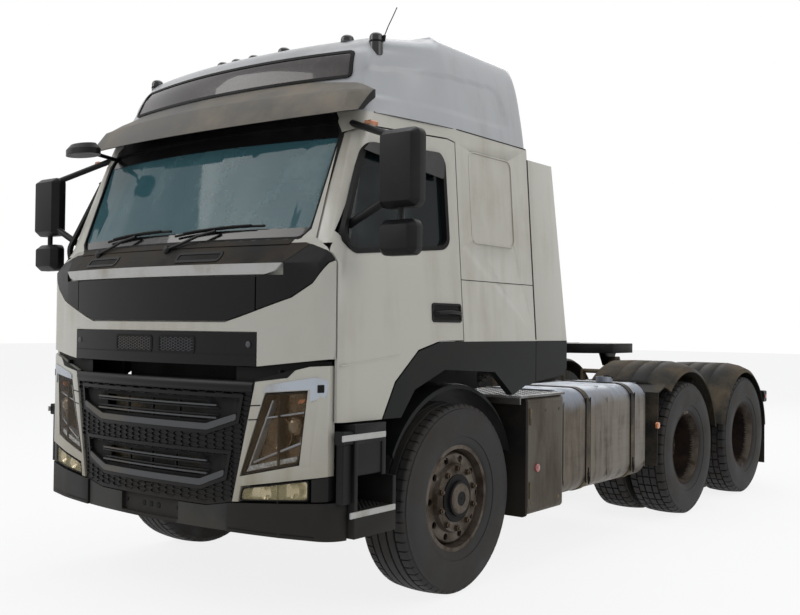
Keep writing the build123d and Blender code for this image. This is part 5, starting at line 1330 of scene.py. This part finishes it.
# ---------------------------------------- tanks, battery box and their fittings
# distance behind the front axle of a tank's ends and of its straps
TANKS = {"left": (1.108, 2.390, (1.450, 2.160)), "right": (1.560, 2.390, (1.700, 2.220))}
TANK_CAP = [(0.030, 0.060), (0.044, 0.062), (0.052, 0.056), (0.056, 0.040), (0.056, 0.006)]
SEAM_HALF = 0.003
for side, sign in SIDES.items():
    y0, y1, straps = TANKS[side]
    with piece(f"tank_cap_{side}", "gasket", sharp=40) as form:
        lathe(form, TANK_CAP, at(0.960 * sign, 2.235, 1.082), UPWARD, 30)
        tube(form, [at(0.960 * sign, 2.235, 1.138), at(0.985 * sign, 2.235, 1.142),
                    at(1.030 * sign, 2.240, 1.128)], 0.007, 8)
    with piece(f"tank_seams_{side}", "tank") as form:
        for y in (y0 + 0.010, y1 - 0.010, (y0 + y1) / 2):
            for z in (0.402, 1.090):
                set_block(form, (0.62, y - SEAM_HALF, z - 0.002), (1.15, y + SEAM_HALF, z + 0.002), sign=sign)
            set_block(form, (1.219, y - SEAM_HALF, 0.47), (1.2225, y + SEAM_HALF, 1.02), sign=sign)
    with piece(f"strap_edges_{side}", "gasket") as form:
        for y in straps:
            for edge in (y - 0.034, y + 0.028):
                set_block(form, (1.2195, edge, 0.46), (1.2285, edge + 0.006, 1.03), 0.001, sign)
            lathe(form, [(0, 0.013), (0.006, 0.013), (0.010, 0.009)], at(1.226 * sign, y, 0.52), (sign, 0, 0), 6)
            tube(form, [at(1.232 * sign, y, 0.45), at(1.228 * sign, y, 0.56)], 0.006, 8)

BAR_PITCH, BAR_TURN, BAR_HALF, BAR_HALF_WIDTH, BAR_HEIGHT = 0.034, 0.785, 0.012, 0.0028, 0.004


def tread_bars(form, x0, x1, y0, y1, z):
    """Raised bars of tread plate, alternate ones turned."""
    lift = Vector((0, 0, BAR_HEIGHT))
    for i in range(int((x1 - x0) / BAR_PITCH)):
        for j in range(int((y1 - y0) / BAR_PITCH)):
            turn = BAR_TURN if (i + j) % 2 else -BAR_TURN
            along = Vector((math.cos(turn), math.sin(turn), 0)) * BAR_HALF
            off = Vector((-math.sin(turn), math.cos(turn), 0)) * BAR_HALF_WIDTH
            base = at(x0 + (i + 0.5) * BAR_PITCH, y0 + (j + 0.5) * BAR_PITCH, z - 0.001)
            low = ring(form, [base + along, base + off * 2, base - along, base - off * 2])
            top = ring(form, [base + along * 0.7 + lift, base + off + lift, base - along * 0.7 + lift,
                              base - off + lift])
            bridge(form, low, top)
            form.faces.new(top)
            form.faces.new(list(reversed(low)))


with piece("tread_bars", "tread") as form:
    tread_bars(form, 0.620, 1.222, 0.550, 1.096, 1.083)
    tread_bars(form, -0.40, 0.40, 1.02, 2.44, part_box("frame_rails")[1].z + 0.009)

OUTWARD = (1, 0, 0)
BOX_FACE = 1.2215
BOX_RIVETS = [(0.70, 0.98), (1.04, 0.98), (0.70, 0.42), (1.04, 0.42), (0.87, 0.98)]
SIDE_LAMPS = [("battery_box_lamp", at(1.226, 0.764, 0.631), "red"),
              ("guard_flap_lamp", at(1.236, 2.600, 0.760), "amber")]
with piece("battery_box_rivets", "frame") as form:
    for y in (0.72 + 0.036 * k for k in range(9)):
        set_block(form, (BOX_FACE, y, 0.722), (BOX_FACE + 0.002, y + 0.018, 0.728))
    for y, z in BOX_RIVETS:
        lathe(form, [(0, 0.011), (0.003, 0.011), (0.005, 0.006)], at(BOX_FACE, y, z), OUTWARD, 10)
with piece("battery_box_lid_face", "box") as form:
    lid = rounded_outline(oblong(0.655, 0.385, 1.080, 1.035), 0.03)
    prism(form, [at(BOX_FACE, p.x, p.y) for p in lid], (0.0022, 0, 0))
with piece("battery_box_latches", "frame") as form:
    for z in (0.45, 0.90):
        set_block(form, (1.222, 0.668, z), (1.231, 0.688, z + 0.10), 0.003)
for name, place, finish in SIDE_LAMPS:
    with piece(name, finish, sharp=40) as form:
        lathe(form, [(-0.012, 0.026), (0.000, 0.027), (0.006, 0.024), (0.009, 0.012)], place, OUTWARD, 20)

# ---------------------------------------- mudguard carriers, frame bolts, air tanks
GUARD_CARRIERS = [(2.921, 1.155), (3.606, 1.077), (4.197, 1.052), (5.107, 0.900)]   # distance, top
AIR_TANK = [(-0.02, 0.02), (0.0, 0.105), (0.03, 0.118), (0.52, 0.118), (0.55, 0.105), (0.57, 0.02)]
with piece("guard_carriers", "frame") as form:
    for sign in SIDES.values():
        for y, top in GUARD_CARRIERS:
            set_block(form, (0.425, y - 0.030, 0.80), (0.445, y + 0.030, top), 0.004, sign)
with piece("frame_bolts", "frame") as form:
    for sign in SIDES.values():
        for k in range(24):
            for z in (0.745, 0.895):
                lathe(form, [(0, 0.014), (0.010, 0.014), (0.012, 0.010)], at(sign * 0.425, 0.95 + 0.185 * k, z),
                      (sign, 0, 0), 6)
with piece("air_tanks", "frame", sharp=40) as form:
    for x in (-0.20, 0.20):
        lathe(form, AIR_TANK, at(x, 1.70, 0.80), (0, 1, 0), 28)

# ---------------------------------------- tail lamps and rear end
TAIL_LENSES = [(0.800, 0.900), (0.905, 1.000), (1.005, 1.100), (1.105, 1.205)]
for side, sign in SIDES.items():
    with piece(f"tail_lamp_lenses_{side}", "red") as form:
        for x0, x1 in TAIL_LENSES:
            plate(form, rounded_outline(sign_points(oblong(x0, 0.805, x1, 0.895), sign), 0.012, 3), 5.3165, 0.0045)
    with piece(f"rear_indicator_{side}", "amber") as form:
        plate(form, rounded_outline(sign_points(oblong(1.105, 0.812, 1.200, 0.888), sign), 0.012, 3), 5.3185, 0.004)
    with piece(f"rear_side_marker_{side}", "red", sharp=40) as form:
        lathe(form, [(0, 0.020), (0.006, 0.020), (0.008, 0.014)], at(sign * 1.2145, 5.28, 0.85), (sign, 0, 0), 16)

# ---------------------------------------- stage, light and camera
CAMERA_PLACE = (4.261, -4.589, 1.494)     # side, behind the front axle, height
CAMERA_TURN = 37.594                      # degrees from straight ahead
CAMERA_RISE = 1.121
CAMERA_ROLL = 0.642
FOCAL_PIXELS = 981.5
PICTURE_WIDTH = 800
SENSOR = 36.0
scene = bpy.context.scene
scene.view_settings.view_transform = "Standard"

data = bpy.data.cameras.new("camera")
data.sensor_width = SENSOR
data.lens = SENSOR * FOCAL_PIXELS / PICTURE_WIDTH
data.clip_end = 200
camera = bpy.data.objects.new("camera", data)
turn, rise, roll = (math.radians(a) for a in (CAMERA_TURN, CAMERA_RISE, CAMERA_ROLL))
ahead = Vector((-math.sin(turn) * math.cos(rise), math.cos(turn) * math.cos(rise), math.sin(rise)))
right = ahead.cross(Vector((0, 0, 1))).normalized()
up = right.cross(ahead)
rolled_right = math.cos(roll) * right + math.sin(roll) * up
rolled_up = -math.sin(roll) * right + math.cos(roll) * up
facing_turn = Matrix((rolled_right, rolled_up, -ahead)).transposed().to_4x4()
camera.matrix_world = Matrix.Translation(at(*CAMERA_PLACE)) @ facing_turn
scene.collection.objects.link(camera)
scene.camera = camera


def seen_white(nodes, lit, white, share, output):
    """Mixes white into what the camera, reflections and glass see of the stage."""
    rays = [nodes.node("ShaderNodeLightPath", out=name)
            for name in ("Is Camera Ray", "Is Glossy Ray", "Is Transmission Ray")]
    seen = rays[0].highest(rays[1]).highest(rays[2]) * share
    nodes.feed(nodes.tree.nodes[output].inputs[0],
               nodes.node("ShaderNodeMixShader", None, {0: seen, 1: lit, 2: white}))


WHITE = (1, 1, 1, 1)
world = bpy.data.worlds.new("studio")
scene.world = world
world.use_nodes = True
air = Nodes(world.node_tree)
daylight = air.node("ShaderNodeBackground", None, {0: (0.95, 0.97, 1.0, 1), 1: 0.5})
seen_white(air, daylight, air.node("ShaderNodeBackground", None, {0: WHITE, 1: 1.0}), 1.0, "World Output")

bpy.ops.mesh.primitive_plane_add(size=120, location=(0, 0, 0))
floor = bpy.context.object
floor.name = "floor"
ground = Finish("pale_floor")
ground.looks(Base_Color=(0.82, 0.82, 0.82, 1), Roughness=0.9)
seen_white(ground, Shade(ground, ground.shader.outputs[0]),
           ground.node("ShaderNodeEmission", None, {0: WHITE}), 0.84, "Material Output")
floor.data.materials.append(ground.material)

LIT_POINT = Vector((0, 0, 1.2))
# name, place, size, power, colour
SOFT_BOXES = [
    ("key", (-6.0, -9.0, 8.0), 6.0, 400, (1.0, 0.985, 0.96)),
    ("side", (10.0, -1.0, 7.0), 7.0, 300, (1.0, 0.99, 0.97)),
    ("top", (0.0, 0.5, 10.0), 8.0, 330, (0.96, 0.98, 1.0)),
    ("back", (-4.0, 11.0, 7.0), 6.0, 240, (1.0, 1.0, 1.0)),
]
for name, place, size, power, colour in SOFT_BOXES:
    lamp = bpy.data.lights.new(name, "AREA")
    lamp.size = size
    lamp.energy = power
    lamp.color = colour
    box = bpy.data.objects.new(name, lamp)
    aim = (LIT_POINT - Vector(place)).to_track_quat("-Z", "Y").to_matrix().to_4x4()
    box.matrix_world = Matrix.Translation(place) @ aim
    scene.collection.objects.link(box)
